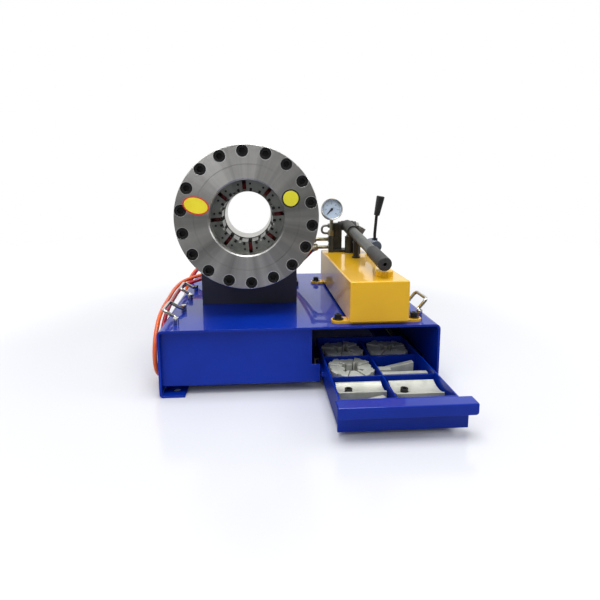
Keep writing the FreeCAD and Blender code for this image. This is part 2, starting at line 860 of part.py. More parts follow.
# Die shoes
shoe_s0 = cover_thickness + shoe_front_gap
shoe_s1 = shoe_s0 + shoe_length
pocket_radius = spring_radius + spring_pocket_gap
springs = []
for index in range(shoe_count):
    angle = shoe_first_angle + index * 360.0 / shoe_count
    turn = math.radians(angle)
    outward = Vector(math.cos(turn), 0, math.sin(turn))
    across = Vector(-math.sin(turn), 0, math.cos(turn))
    centre = Vector(head_x, head_front_y, head_z)
    profile = []
    for reach, s in ((shoe_blank_inner, shoe_s0), (shoe_outer(shoe_s0), shoe_s0),
                     (shoe_outer(shoe_s1), shoe_s1), (shoe_blank_inner, shoe_s1)):
        profile.append(centre + outward * reach + head_axis * s - across * (shoe_blank_width / 2))
    bar = prism(profile, across * shoe_blank_width)
    half = math.radians(180.0 / shoe_count)
    apex = shoe_travel + shoe_closed_gap / 2 / math.sin(half)
    side_reach = shoe_blank_width
    wedge_front = centre + outward * apex + head_axis * (shoe_s0 - 1)
    wedge_side = across * (side_reach * math.tan(half))
    wedge_points = [
        wedge_front,
        wedge_front + outward * side_reach + wedge_side,
        wedge_front + outward * side_reach - wedge_side,
    ]
    wedge = prism(wedge_points, head_axis * (shoe_length + 2))
    shoe = bar.common(wedge)
    seat_axis = centre + outward * shoe_travel
    seat = rod(seat_axis + head_axis * (shoe_s0 - 1), seat_axis + head_axis * (shoe_s1 + 1),
               shoe_closed_radius)
    shoe = shoe.cut(seat)
    slot_points = []
    slot_open = shoe_open_radius - die_slot_depth
    slot_floor = shoe_open_radius + die_slot_depth
    for reach, width in ((slot_open, -1), (slot_floor, -1), (slot_floor, 1), (slot_open, 1)):
        slot_points.append(centre + outward * reach + across * (width * die_slot_width / 2)
                           + head_axis * (shoe_s0 - 1))
    shoe = shoe.cut(prism(slot_points, head_axis * (shoe_length + 2)))
    spring_s = shoe_s0 + spring_behind_shoe_front
    for side in (-1, 1):
        side_turn = math.radians(angle + side * 180.0 / shoe_count)
        radial = Vector(math.cos(side_turn), 0, math.sin(side_turn))
        tangent = Vector(-math.sin(side_turn), 0, math.cos(side_turn))
        gap_middle = centre + radial * spring_from_axis + head_axis * spring_s
        half_gap = shoe_closed_gap / 2 + shoe_travel * math.sin(half)
        pocket_end = gap_middle - tangent * (side * (half_gap + spring_pocket_depth))
        shoe = shoe.cut(rod(gap_middle, pocket_end, pocket_radius))
        if side == 1:
            spring_reach = half_gap + spring_pocket_depth - spring_pocket_gap
            springs.append(rod(gap_middle - tangent * spring_reach, gap_middle + tangent * spring_reach,
                               spring_radius))
    save("die_shoe_" + str(index + 1), shoe)
save("shoe_springs", Part.makeCompound(springs))

# Oil ports: fittings on the left of the support block and of the pump column
def beside(out, y, rise):
    """Point beside the left wall of the base, measured from its top."""
    return Vector(-half_width - out, y, top_z + rise)


def low(out, y, z):
    """Point beside the left wall of the base, measured from the floor."""
    return Vector(-half_width - out, y, z)


def behind(across, y, rise):
    """Point behind the head, measured from its axis and from the base's top."""
    return Vector(head_x + across, y, top_z + rise)


def near_pump(left, past_tank, rise):
    """Point left of the pump column, measured from it, from the tank's rear and from the base's top."""
    return Vector(casting_x0 - left, tank_rear_y + past_tank, top_z + rise)


orange_points = [
    behind(-149, 126, 36),
    beside(0, 104, 28),
    beside(21, 44, 17),
    beside(21, -42, 10),
    beside(19, -126, 8),
    beside(18, -190, -6),
    low(18, -231, 106),
    low(18, -236, 52),
    low(18, -200, 14),
    low(18, -134, 9),
    low(20, -20, 8),
    low(19, 88, 11),
    low(21, 150, 36),
    low(21, 186, 86),
    beside(16, 206, -11),
    beside(-12, 224, 37),
    behind(-131, 232, 61),
    behind(-71, 234, 52),
    behind(-9, 233, 28),
    behind(73, 230, 16),
    near_pump(116, 34, 36),
    near_pump(82, 12, 80),
    near_pump(58, -12, 123),
]
crimson_points = [
    behind(-149, 104, 27),
    beside(-4, 78, 19),
    beside(8, 34, 13),
    beside(9, -44, 8),
    beside(7, -120, 6),
    beside(6, -182, -10),
    low(6, -226, 102),
    low(6, -230, 50),
    low(6, -195, 13),
    low(6, -128, 9),
    low(7, -16, 8),
    low(6, 84, 12),
    low(7, 140, 40),
    low(7, 172, 90),
    beside(5, 188, -6),
    beside(-20, 204, 42),
    behind(-125, 214, 64),
    behind(-67, 217, 52),
    behind(-7, 217, 28),
    behind(71, 213, 17),
    near_pump(120, 22, 30),
    near_pump(80, 8, 66),
    near_pump(54, -16, 100),
]
hose_orange = hose_route(orange_points, hose_radius, "hose_orange")
hose_crimson = hose_route(crimson_points, hose_radius, "hose_crimson")
save("hose_orange", hose_orange)
save("hose_crimson", hose_crimson)


left_wall_x = head_x - support_half_width


def port_fitting(points, wall_x):
    """Elbow fitting between a flat side wall and a hose end."""
    along = points[0].sub(points[1])
    along.normalize()
    knuckle = points[0] + along * fitting_beyond_hose
    wall_point = Vector(wall_x, knuckle.y, knuckle.z)
    toward = knuckle.sub(wall_point)
    toward.normalize()
    hinge_line = toward.cross(along)
    hinge_line.normalize()
    half = hinge_line * fitting_knuckle_half
    return join([
        rod(wall_point, knuckle, fitting_stub_radius),
        hexagon(wall_point, wall_point + toward * fitting_nut_length, fitting_nut_across),
        rod(knuckle - half, knuckle + half, fitting_knuckle_radius),
        rod(points[0], knuckle, fitting_ferrule_radius),
    ])


oil_ports = [
    port_fitting(orange_points, left_wall_x),
    port_fitting(crimson_points, left_wall_x),
]

# Pump tank with softened edges
tank_x0 = tank_x - tank_width / 2
tank_x1 = tank_x + tank_width / 2
tank = block(tank_x0, tank_x1, tank_front_y, tank_rear_y, tank_bottom, tank_top)
tank = tank.makeFillet(tank_edge, tank.Edges)
filler_hole = rod(Vector(filler_x, filler_y, tank_top - filler_hole_depth),
                  Vector(filler_x, filler_y, tank_top + 1), filler_plug_radius)
tank = tank.cut(filler_hole)
save("pump_tank", tank)

# Tank feet: rounded cross flanges under both ends
feet = []
for foot_line_y in (tank_front_foot_y, tank_rear_foot_y):
    end_round = tank_foot_width / 2
    middle = block(tank_x - tank_foot_half_length + end_round, tank_x + tank_foot_half_length - end_round,
                   foot_line_y - end_round, foot_line_y + end_round, top_z, tank_bottom)
    pieces = [middle]
    for side in (-1, 1):
        end_x = tank_x + side * (tank_foot_half_length - end_round)
        pieces.append(rod(Vector(end_x, foot_line_y, top_z), Vector(end_x, foot_line_y, tank_bottom),
                          end_round))
    foot = join(pieces)
    for side in (-1, 1):
        hole_x = tank_x + side * tank_bolt_offset
        foot = foot.cut(rod(Vector(hole_x, foot_line_y, top_z - 1),
                            Vector(hole_x, foot_line_y, tank_bottom + 1), foot_bolt_radius))
    feet.append(foot)
save("tank_feet", Part.makeCompound(feet))

tank_bolts = []
for point in tank_bolt_points:
    seat = Vector(point.x, point.y, tank_bottom + washer_thickness)
    bolt = cap_screw(seat, Vector(0, 0, -1), foot_bolt_head_radius, foot_bolt_head_height,
                     foot_bolt_radius, washer_thickness + tank_lift + base_sheet + foot_bolt_below_sheet,
                    foot_bolt_socket)
    washer = rod(Vector(point.x, point.y, tank_bottom), seat, washer_radius)
    tank_bolts.append(bolt.fuse(washer).removeSplitter())
save("tank_bolts", Part.makeCompound(tank_bolts))

# Filler cap: knob with scalloped grip and a plug
cap_base = Vector(filler_x, filler_y, tank_top)
filler_cap = rod(cap_base + Vector(0, 0, filler_seat_gap), cap_base + Vector(0, 0, filler_height),
                 filler_radius)
cap_top_edge = edge_at(filler_cap, lambda e: abs(e.CenterOfMass.z - tank_top - filler_height) < 0.01)
filler_cap = filler_cap.makeFillet(filler_round, cap_top_edge)
scallop_reach = filler_radius + filler_scallop_outside
for index in range(filler_scallop_count):
    angle = math.radians(index * 360.0 / filler_scallop_count)
    spot = cap_base + Vector(scallop_reach * math.cos(angle), scallop_reach * math.sin(angle), 0)
    filler_cap = filler_cap.cut(rod(spot, spot + Vector(0, 0, filler_height + 1), filler_scallop_radius))
plug = rod(cap_base - Vector(0, 0, filler_plug_length), cap_base + Vector(0, 0, 1),
           filler_plug_radius - filler_plug_gap)
save("filler_cap", filler_cap.fuse(plug).removeSplitter())

# Lever: drops towards the operator from its pivot
drop = math.radians(lever_drop_angle)
lever_out = Vector(0, -math.cos(drop), -math.sin(drop))
pivot = Vector(lever_x, pivot_y, pivot_z)
lever_end = pivot + lever_out * lever_length

# Lever rest: disc and post that stop just under the lever
rest_along = (pivot_y - rest_y) / math.cos(drop)
rest_height = pivot_z - rest_along * math.sin(drop) - lever_tube_radius / math.cos(drop) - rest_lever_gap
rest_base = Vector(lever_x, rest_y, tank_top)
rest_top = Vector(lever_x, rest_y, rest_height - rest_radius * math.tan(drop))
rest = join([
    rod(rest_base, rest_base + Vector(0, 0, rest_flange_thickness), rest_flange_radius),
    rod(rest_base, rest_top, rest_radius),
])
save("lever_rest", rest)

# Pump casting: foot, column, plunger barrel, side block and two pivot ears
casting = block(casting_x0, casting_x1, casting_y0, casting_y1, tank_top, tank_top + casting_foot_height)
column = block(casting_x0, casting_x0 + column_width, casting_y1 - column_depth, casting_y1,
               tank_top, tank_top + column_height)
upright = edge_at(column, lambda e: abs(e.Length - column_height) < 0.01)
column = column.makeFillet(casting_corner, upright)
side_y0 = casting_y1 - side_block_front
side_block = block(casting_x1 - side_block_width, casting_x1, side_y0, side_y0 + side_block_depth,
                   tank_top, side_block_top)
upright = edge_at(side_block, lambda e: abs(e.Length - side_block_height) < 0.01)
side_block = side_block.makeFillet(casting_corner, [upright[0]] + [upright[2]])
ear_inner = lever_socket_radius + ear_side_gap
barrel_top = tank_top + barrel_height
barrel = rod(Vector(lever_x, plunger_y, tank_top), Vector(lever_x, plunger_y, barrel_top), barrel_radius)
pieces = [casting, column, side_block, barrel]
for side in (-1, 1):
    x_a = lever_x + side * ear_inner
    x_b = lever_x + side * (ear_inner + ear_thickness)
    low_x = min(x_a, x_b)
    high_x = max(x_a, x_b)
    pieces.append(block(low_x, high_x, pivot_y - ear_radius, pivot_y + ear_radius, tank_top, pivot_z))
    pieces.append(rod(Vector(low_x, pivot_y, pivot_z), Vector(high_x, pivot_y, pivot_z), ear_radius))
gauge_seat = Vector(gauge_x, gauge_y, tank_top + gauge_boss_height)
pieces.append(rod(Vector(gauge_x, gauge_y, tank_top), gauge_seat, gauge_boss_radius))
casting = join(pieces)
casting = casting.cut(rod(Vector(lever_x, plunger_y, tank_top + plunger_bore_floor),
                          Vector(lever_x, plunger_y, barrel_top + 1), plunger_radius + sliding_gap))
pin_half = ear_inner + ear_thickness
pin_left = Vector(lever_x - pin_half, pivot_y, pivot_z)
pin_right = Vector(lever_x + pin_half, pivot_y, pivot_z)
pin_start = pin_left - Vector(pin_end_left, 0, 0)
casting = casting.cut(rod(pin_start - Vector(screw_end_gap, 0, 0), pin_right, pivot_radius + pin_seat_gap))

# Plunger under the lever
plunger_top = pivot_z - (pivot_y - plunger_y) * math.tan(drop) - lever_socket_radius / math.cos(drop)
plunger_top = plunger_top - plunger_radius * math.tan(drop) - plunger_lever_gap
plunger = rod(Vector(lever_x, plunger_y, tank_top + plunger_foot_height),
              Vector(lever_x, plunger_y, plunger_top), plunger_radius)
plunger_edge = edge_at(plunger, lambda e: abs(e.CenterOfMass.z - plunger_top) < 0.01)
plunger = plunger.makeChamfer(plunger_chamfer, plunger_edge)
save("pump_plunger", plunger)

# Lever socket, tube and grip
socket = join([
    rod(Vector(lever_x - lever_socket_radius, pivot_y, pivot_z),
        Vector(lever_x + lever_socket_radius, pivot_y, pivot_z), lever_boss_radius),
    rod(pivot, pivot + lever_out * lever_socket_length, lever_socket_radius),
])
socket = socket.cut(rod(pivot + lever_out * lever_socket_bore_start,
                        pivot + lever_out * (lever_socket_length + 1), lever_tube_radius))
socket = socket.cut(rod(pin_left, pin_right, pivot_radius + sliding_gap))
save("lever_socket", socket)
grip_start = pivot + lever_out * (lever_length - lever_grip_length)
tube_start = pivot + lever_out * lever_tube_start
tube_end = pivot + lever_out * (lever_length - lever_end_wall)
save("lever_tube", tube(tube_start, tube_end, lever_tube_radius, lever_tube_radius - lever_wall))
grip = rod(grip_start, lever_end, lever_grip_radius)
grip = grip.makeFillet(grip_edge_round, edge_at(grip, lambda e: len(e.Vertexes) == 1))
grip = grip.cut(rod(grip_start - lever_out, tube_end, lever_tube_radius))
grip = grip.cut(rod(lever_end + lever_out, lever_end - lever_out * grip_hole_depth, grip_hole_radius))
save("lever_grip", grip)

# Pivot pin, seated in the column and held by a nut
pin = rod(pin_start, pin_right + Vector(pin_end_right, 0, 0), pivot_radius)
pin_nut = hexagon(pin_right, pin_right + Vector(pin_nut_length, 0, 0), pin_nut_across)
save("pivot_pin", join([pin, pin_nut]))

# Release knob on a slanted stem, with a knurled head
knob_foot = Vector(casting_x1 - release_inset, release_y, side_block_top)
knob_line = Vector(release_lean, release_back, release_rise)
knob_line.normalize()
knob_head_start = knob_foot + knob_line * release_head_start
knob_stem = rod(knob_foot - knob_line * release_stem_depth, knob_head_start, release_stem_radius)
knob_head_end = knob_foot + knob_line * release_head_end
knob_head = rod(knob_head_start, knob_head_end, release_head_radius)
knob_side = knob_line.cross(Vector(0, 1, 0))
knob_side.normalize()
knob_other = knob_line.cross(knob_side)
knob_other.normalize()
knurl_reach = release_head_radius + release_knurl_radius / 2
for index in range(release_knurl_count):
    angle = math.radians(index * 360.0 / release_knurl_count)
    spot = knob_side * (knurl_reach * math.cos(angle)) + knob_other * (knurl_reach * math.sin(angle))
    knob_head = knob_head.cut(rod(knob_head_start + spot - knob_line, knob_head_end + spot + knob_line,
                                  release_knurl_radius))
save("release_knob", join([knob_stem, knob_head]))

# Valve block joined to the casting, with a round valve body
valve_face_y = valve_y - valve_length / 2
valve_front = Vector(valve_x, valve_face_y, valve_z)
valve_body = rod(valve_front, valve_front + Vector(0, valve_length, 0), valve_radius)
valve_body = valve_body.makeChamfer(valve_chamfer, edge_at(valve_body, lambda e: len(e.Vertexes) == 1))
valve_link = block(casting_x1, valve_x, valve_y - valve_link_half_width, valve_y + valve_link_half_width,
                   tank_top + valve_link_low, tank_top + valve_link_high)
hub_x = valve_x + valve_lever_shift
hub_foot = Vector(hub_x, valve_y, valve_z)
hub_top = hub_foot + Vector(0, 0, valve_radius + valve_hub_rise)
valve_hub = rod(hub_foot, hub_top, valve_hub_radius)
valve_body = join([valve_body, valve_link, valve_hub])
slot = block(hub_x - valve_slot_half, hub_x + valve_slot_half,
             valve_y - valve_slot_half_length, valve_y + valve_slot_half_length,
             valve_z + valve_slot_floor, hub_top.z + 1)
valve_body = valve_body.cut(slot)
hinge_point = Vector(hub_x, valve_y, valve_z + valve_hinge_rise)
valve_pin_left = hinge_point + Vector(valve_pin_start, 0, 0)
valve_pin_right = hinge_point + Vector(valve_pin_end, 0, 0)
valve_body = valve_body.cut(rod(valve_pin_left - Vector(valve_hub_radius, 0, 0),
                                valve_pin_right + Vector(valve_hub_radius, 0, 0),
                                valve_pin_radius + sliding_gap))
save("valve_body", valve_body)

# Valve lever and its tapered grip
lever_neck = Vector(hub_x, valve_y, valve_z + valve_neck_rise)
lever_knee = Vector(hub_x + valve_knee_out, valve_y, valve_z + valve_knee_rise)
lever_tip = Vector(hub_x + valve_tip_out, valve_y, valve_z + valve_tip_rise)
rod_end = lever_knee + (lever_tip - lever_knee) * valve_rod_in_grip
valve_lever = join([
    rod(hinge_point - Vector(valve_boss_half, 0, 0), hinge_point + Vector(valve_boss_half, 0, 0),
        valve_boss_radius),
    rod(valve_pin_left, valve_pin_right, valve_pin_radius),
    rod(hinge_point, lever_neck, valve_rod_radius),
    rod(lever_neck, lever_knee, valve_rod_radius),
    Part.makeSphere(valve_rod_radius, lever_neck),
    Part.makeSphere(valve_rod_radius, lever_knee),
    rod(lever_knee, rod_end, valve_rod_radius),
])
save("valve_lever", valve_lever)
grip_line = lever_tip.sub(lever_knee)
grip_line.normalize()
grip_base = lever_knee + grip_line * valve_grip_start
valve_grip = cone(grip_base, lever_tip, valve_grip_low_radius, valve_grip_high_radius)
valve_grip = valve_grip.makeFillet(valve_grip_round, edge_at(valve_grip, lambda e: len(e.Vertexes) == 1))
valve_grip = valve_grip.cut(rod(grip_base - grip_line, rod_end, valve_rod_radius))
save("valve_grip", valve_grip)

# Lock screw beside the release knob
lock_point = Vector(casting_x1, lock_y, tank_top + lock_height)
lock_stem_end = lock_point - Vector(lock_stem_depth, 0, 0)
lock_head_near = lock_point + Vector(lock_head_start, 0, 0)
lock_head_far = lock_point + Vector(lock_head_end, 0, 0)
lock_screw = join([
    rod(lock_stem_end, lock_head_near, lock_stem_radius),
    rod(lock_head_near, lock_head_far, lock_head_radius),
])
save("lock_screw", lock_screw)
casting = casting.cut(rod(lock_stem_end - Vector(screw_end_gap, 0, 0), lock_head_far,
                          lock_stem_radius + screw_running_gap))
casting = casting.cut(rod(knob_foot - knob_line * (release_stem_depth + screw_end_gap), knob_head_start,
                          release_stem_radius + screw_running_gap))
save("pump_casting", casting)

# Gauge on a hexagonal stem
gauge_lean = math.radians(gauge_tilt)
gauge_normal = Vector(0, -math.cos(gauge_lean), math.sin(gauge_lean))
gauge_right = Vector(1, 0, 0)
gauge_up = gauge_normal.cross(gauge_right)
gauge_centre = Vector(gauge_x, gauge_y, gauge_z)
case_back = gauge_centre - gauge_normal * (gauge_thickness / 2)
case_front = gauge_centre + gauge_normal * (gauge_thickness / 2)
stem_low = gauge_seat
stem_mid = stem_low + Vector(0, 0, gauge_stem_hexagon)
stem_high = Vector(gauge_x, gauge_y, gauge_z - gauge_radius + gauge_floor)
gauge_stem = join([
    hexagon(stem_low, stem_mid, gauge_stem_across),
    rod(stem_mid, stem_high, gauge_stem_radius),
])
case = rod(case_back, case_front, gauge_radius)
dial_back = case_back + gauge_normal * gauge_floor
dial_radius = gauge_radius - gauge_wall
case = case.cut(rod(dial_back, case_front + gauge_normal, dial_radius))
rim_edge = edge_at(case, lambda e: len(e.Vertexes) == 1 and e.Length > 6.2 * gauge_radius
                   and e.CenterOfMass.sub(case_front).Length < 0.1)
case = case.makeFillet(gauge_rim_round, rim_edge)
gauge_stem = gauge_stem.cut(rod(case_back - gauge_normal * gauge_thickness,
                                case_front + gauge_normal * gauge_thickness, gauge_radius))
save("gauge_stem", gauge_stem)
save("gauge_case", case)
dial_front = dial_back + gauge_normal * dial_thickness
save("gauge_dial", rod(dial_back, dial_front, dial_radius))
needle_back = dial_front + gauge_normal * needle_above_dial
needle_line = gauge_up * -needle_down_part + gauge_right * -needle_left_part
needle_line.normalize()
needle_side = needle_line.cross(gauge_normal)
needle_tip = needle_back + needle_line * needle_length
needle_points = [
    needle_back + needle_side * needle_root_half,
    needle_tip + needle_side * needle_tip_half,
    needle_tip - needle_side * needle_tip_half,
    needle_back - needle_side * needle_root_half,
    needle_back - needle_line * needle_tail,
]
needle = prism(needle_points, gauge_normal * needle_thickness)
needle_hub = rod(needle_back - gauge_normal * needle_hub_below,
                 needle_back + gauge_normal * needle_hub_height, needle_hub_radius)
save("gauge_needle", needle.fuse(needle_hub).removeSplitter())
glass_back = case_front - gauge_normal * gauge_wall
save("gauge_glass", rod(glass_back, glass_back + gauge_normal * glass_thickness, dial_radius))

# Hose fittings and the bent steel pipe on the left of the pump column
pump_ports = [
    port_fitting(orange_points[::-1], casting_x0),
    port_fitting(crimson_points[::-1], casting_x0),
]
save("hose_fittings", Part.makeCompound(oil_ports + pump_ports))
pipe_y = casting_y1 - column_depth / 2
pipe_points = [
    Vector(casting_x0, pipe_y, tank_top + pipe_low),
    Vector(casting_x0 - pipe_out, pipe_y, tank_top + pipe_low),
    Vector(casting_x0 - pipe_out, pipe_y, tank_top + pipe_high),
    Vector(casting_x0, pipe_y, tank_top + pipe_high),
]
steel_pipe = hose_route(pipe_points, pipe_radius, "steel_pipe")
nut_reach = Vector(pipe_nut_length, 0, 0)
steel_pipe = steel_pipe.fuse([
    hexagon(pipe_points[0], pipe_points[0] - nut_reach, pipe_nut_across),
    hexagon(pipe_points[3], pipe_points[3] - nut_reach, pipe_nut_across),
]).removeSplitter()
save("steel_pipe", steel_pipe)

# Drawer tray: bent sheet with slide bars on both sides
tray_back = drawer_back_y
tray_front = drawer_front_y + drawer_panel_sheet
outer_box = block(drawer_left, drawer_right, tray_front, tray_back, drawer_bottom, drawer_top)
inner_box = block(drawer_left + drawer_sheet, drawer_right - drawer_sheet, tray_front + drawer_sheet,
                  tray_back - drawer_sheet, drawer_bottom + drawer_sheet, drawer_top + 1)
low_edges = edge_at(outer_box, lambda e: abs(e.CenterOfMass.z - drawer_bottom) < 0.01
                    and e.Length > drawer_right - drawer_left + 1)
outer_box = outer_box.makeFillet(tray_edge_round, low_edges)
tray = outer_box.cut(inner_box)
bar_z0 = slide_bar_z - slide_bar_height / 2
bar_z1 = slide_bar_z + slide_bar_height / 2
bar_reach = slide_bar_width - 1.0
tray = tray.fuse([
    block(drawer_left - bar_reach, drawer_left, tray_back - slide_bar_length, tray_back, bar_z0, bar_z1),
    block(drawer_right, drawer_right + bar_reach, tray_back - slide_bar_length, tray_back, bar_z0, bar_z1),
]).removeSplitter()
save("drawer_tray", tray)

# Drawer front: panel with a formed pull lip
front_plate = block(drawer_panel_left, drawer_panel_right, drawer_front_y, tray_front,
                    drawer_bottom - drawer_panel_below_tray, drawer_top)
lip_front = drawer_front_y - lip_depth
lip_top = block(lip_left, lip_right, lip_front, tray_front, drawer_top - drawer_panel_sheet, drawer_top)
lip_face = block(lip_left, lip_right, lip_front, lip_front + drawer_panel_sheet,
                 drawer_top - lip_height, drawer_top)
lip = lip_top.fuse(lip_face).removeSplitter()
lip_edge = edge_at(lip, lambda e: abs(e.CenterOfMass.y - lip_front) < 0.01
                   and abs(e.CenterOfMass.z - drawer_top) < 0.01)
lip = lip.makeFillet(lip_edge_round, lip_edge)
lip_ends = edge_at(lip, lambda e: abs(e.CenterOfMass.y - lip_front - drawer_panel_sheet / 2) < 0.01
                   and abs(e.CenterOfMass.z - drawer_top + lip_height) < 0.01)
lip = lip.makeFillet(lip_end_round, lip_ends)
save("drawer_front", front_plate.fuse(lip).removeSplitter())

# Dividers: one long plate and two cross plates, slotted into one grid
inner_left = drawer_left + drawer_sheet
inner_right = drawer_right - drawer_sheet
inner_front = tray_front + drawer_sheet
inner_back = tray_back - drawer_sheet
inner_floor = drawer_bottom + drawer_sheet
middle_x = (inner_left + inner_right) / 2
row_length = (inner_back - inner_front - 2 * divider_sheet) / 3
divider_top = drawer_top - divider_below_rim
dividers = [block(middle_x - divider_sheet / 2, middle_x + divider_sheet / 2, inner_front, inner_back,
                  inner_floor, divider_top)]
for index in (1, 2):
    line_y = inner_front + index * row_length + (index - 1) * divider_sheet
    dividers.append(block(inner_left, inner_right, line_y, line_y + divider_sheet,
                          inner_floor, divider_top))
save("drawer_dividers", join(dividers))


def cell_centre(column, row):
    """Middle of a drawer compartment, rows counted from the front."""
    width = (inner_right - inner_left - divider_sheet) / 2
    x = inner_left + width / 2 + column * (width + divider_sheet)
    y = inner_front + row_length / 2 + row * (row_length + divider_sheet)
    return Vector(x, y, inner_floor)


def die_ring(centre, bore, turn_deg):
    """Eight separate die segments standing together as a ring.

    The corner segments reach further out and carry a slot; the side segments end in flats.
    """
    segments = []
    half = math.pi / die_count
    apex = die_gap_half / math.sin(half)
    far = 2 * die_outer_radius
    for index in range(die_count):
        corner = index % 2 == 1
        radius = die_outer_radius if corner else die_side_radius
        lift = Vector(0, 0, die_height if corner else die_height - die_side_step)
        disc = rod(centre, centre + lift, radius)
        angle = math.radians(turn_deg + index * 360.0 / die_count)
        line = Vector(math.cos(angle), math.sin(angle), 0)
        side = Vector(-math.sin(angle), math.cos(angle), 0)
        wedge = prism([
            centre + line * apex,
            centre + line * (apex + far) + side * (far * math.tan(half)),
            centre + line * (apex + far) - side * (far * math.tan(half)),
        ], lift)
        segment = disc.common(wedge)
        if corner:
            segment = segment.cut(rod(centre, centre + lift, bore))
            cuts = [(bore / 2, bore + die_relief_depth, die_relief_half)]
        else:
            cuts = [(-bore, bore * die_flat_share, bore)]
        cuts.append((radius - die_notch_depth, radius + 1, die_notch_half))
        for near_reach, far_reach, half_width_ in cuts:
            segment = segment.cut(prism([
                centre + line * near_reach + side * half_width_,
                centre + line * far_reach + side * half_width_,
                centre + line * far_reach - side * half_width_,
                centre + line * near_reach - side * half_width_,
            ], lift))
        segments.append(segment)
    return Part.makeCompound(segments)


save("die_set_a", die_ring(cell_centre(0, 2), die_bore_radius, die_turn_a))
save("die_set_b", die_ring(cell_centre(1, 2), die_bore_radius - die_bore_step, die_turn_b))
save("die_set_c", die_ring(cell_centre(0, 1), die_bore_radius, die_turn_c))

# Long dies: one across the compartment, a tapered one behind it and a short one at the left
long_cell = cell_centre(1, 1)
long_low = long_cell + Vector(-long_die_length / 2, long_die_shift - long_die_depth / 2, 0)
long_shoulder = long_die_height - long_die_edge
long_die = prism([
    long_low,
    long_low + Vector(0, long_die_depth, 0),
    long_low + Vector(0, long_die_depth, long_shoulder),
    long_low + Vector(0, long_die_depth - long_die_edge, long_die_height),
    long_low + Vector(0, 0, long_die_height),
], Vector(long_die_length, 0, 0))
wedge_low = long_cell + Vector(long_die_length / 2 - wedge_die_right - wedge_die_length, wedge_die_behind, 0)
wedge_die = prism([
    wedge_low,
    wedge_low + Vector(wedge_die_length, 0, 0),
    wedge_low + Vector(wedge_die_length, 0, wedge_die_high),
    wedge_low + Vector(0, 0, wedge_die_low),
], Vector(0, wedge_die_depth, 0))
short_low = long_cell + Vector(-long_die_length / 2, 0, 0)
short_die = block(short_low.x, short_low.x + short_die_length, short_low.y - short_die_from_left / 2,
                  short_low.y + short_die_from_left / 2, short_low.z, short_low.z + short_die_height)
save("long_dies", Part.makeCompound([long_die, wedge_die, short_die]))


def saddle_adapter(centre, width, scoop):
    """Block with a shallow channel along its top and a pocket for its screw.

    Returns the block and the seat of the screw.
    """
    x0 = centre.x - adapter_length / 2
    y0 = centre.y - width / 2
    top = centre.z + adapter_height
    piece = block(x0, x0 + adapter_length, y0, y0 + width, centre.z, top)
    scoop_line = Vector(x0 - 1, centre.y, top - adapter_scoop_depth + scoop)
    piece = piece.cut(rod(scoop_line, scoop_line + Vector(adapter_length + 2, 0, 0), scoop))
    seat = Vector(centre.x + adapter_screw_along, centre.y + adapter_screw_across,
                  top - adapter_screw_seat_depth)
    pocket = rod(seat, seat + Vector(0, 0, adapter_height),
                 adapter_screw_head_radius + adapter_screw_pocket_gap)
    piece = piece.cut(pocket)
    piece = piece.cut(rod(seat - Vector(0, 0, adapter_screw_length), seat, adapter_screw_radius))
    return piece, seat


def turned_bar(centre, length, turn_deg):
    """Plain bar that lies askew on the drawer's floor."""
    bar = block(-length / 2, length / 2, -bar_width / 2, bar_width / 2, 0, bar_height)
    bar.rotate(Vector(0, 0, 0), Vector(0, 0, 1), turn_deg)
    bar.translate(centre)
    return bar


adapters = []
adapter_screws = []
for column, width, scoop, bar_length, bar_turn, bar_inset in (
        (0, adapter_narrow_width, adapter_narrow_scoop, bar_left_length, bar_left_turn, bar_left_from_front),
        (1, adapter_wide_width, adapter_wide_scoop, bar_right_length, bar_right_turn, bar_right_from_front)):
    cell = cell_centre(column, 0)
    back_y = cell.y + row_length / 2 - adapter_from_rear_wall
    piece, seat = saddle_adapter(Vector(cell.x, back_y - width / 2, cell.z), width, scoop)
    adapters.append(piece)
    adapters.append(turned_bar(Vector(cell.x, inner_front + bar_inset, cell.z), bar_length, bar_turn))
    adapter_screws.append(cap_screw(seat, Vector(0, 0, -1), adapter_screw_head_radius,
                                    adapter_screw_head_height, adapter_screw_radius,
                                    adapter_screw_length, adapter_screw_socket))
save("adapter_dies", Part.makeCompound(adapters))
save("adapter_screws", Part.makeCompound(adapter_screws))
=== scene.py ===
"""Hose crimping machine: finishes, small fittings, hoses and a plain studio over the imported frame.

Everything is in metres with +Z up. The operator stands on the -Y side.
"""

import json
import logging
import math
from dataclasses import dataclass, field
from enum import Enum

import bmesh
import bpy
from mathutils import Matrix, Vector


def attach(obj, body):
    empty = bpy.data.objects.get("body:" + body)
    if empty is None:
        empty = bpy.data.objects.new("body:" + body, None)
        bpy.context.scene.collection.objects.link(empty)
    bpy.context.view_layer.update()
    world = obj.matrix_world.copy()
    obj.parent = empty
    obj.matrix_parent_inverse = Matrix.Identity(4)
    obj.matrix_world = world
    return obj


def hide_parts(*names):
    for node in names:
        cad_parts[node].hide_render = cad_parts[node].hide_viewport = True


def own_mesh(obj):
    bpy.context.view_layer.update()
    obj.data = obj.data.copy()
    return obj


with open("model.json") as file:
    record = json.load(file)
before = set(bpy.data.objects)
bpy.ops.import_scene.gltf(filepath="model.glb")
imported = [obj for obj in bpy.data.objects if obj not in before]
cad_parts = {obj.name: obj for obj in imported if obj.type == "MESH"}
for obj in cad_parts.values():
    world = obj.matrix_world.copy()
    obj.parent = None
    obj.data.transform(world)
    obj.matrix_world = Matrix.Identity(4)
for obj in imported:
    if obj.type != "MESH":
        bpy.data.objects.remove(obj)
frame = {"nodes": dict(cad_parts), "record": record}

log = logging.getLogger("crimper")

Colour = tuple[float, float, float]
Point = tuple[float, float, float]
Mesh = bmesh.types.BMesh
Node = bpy.types.Node
Socket = bpy.types.NodeSocket
Tree = bpy.types.NodeTree
Value = Socket | float | tuple


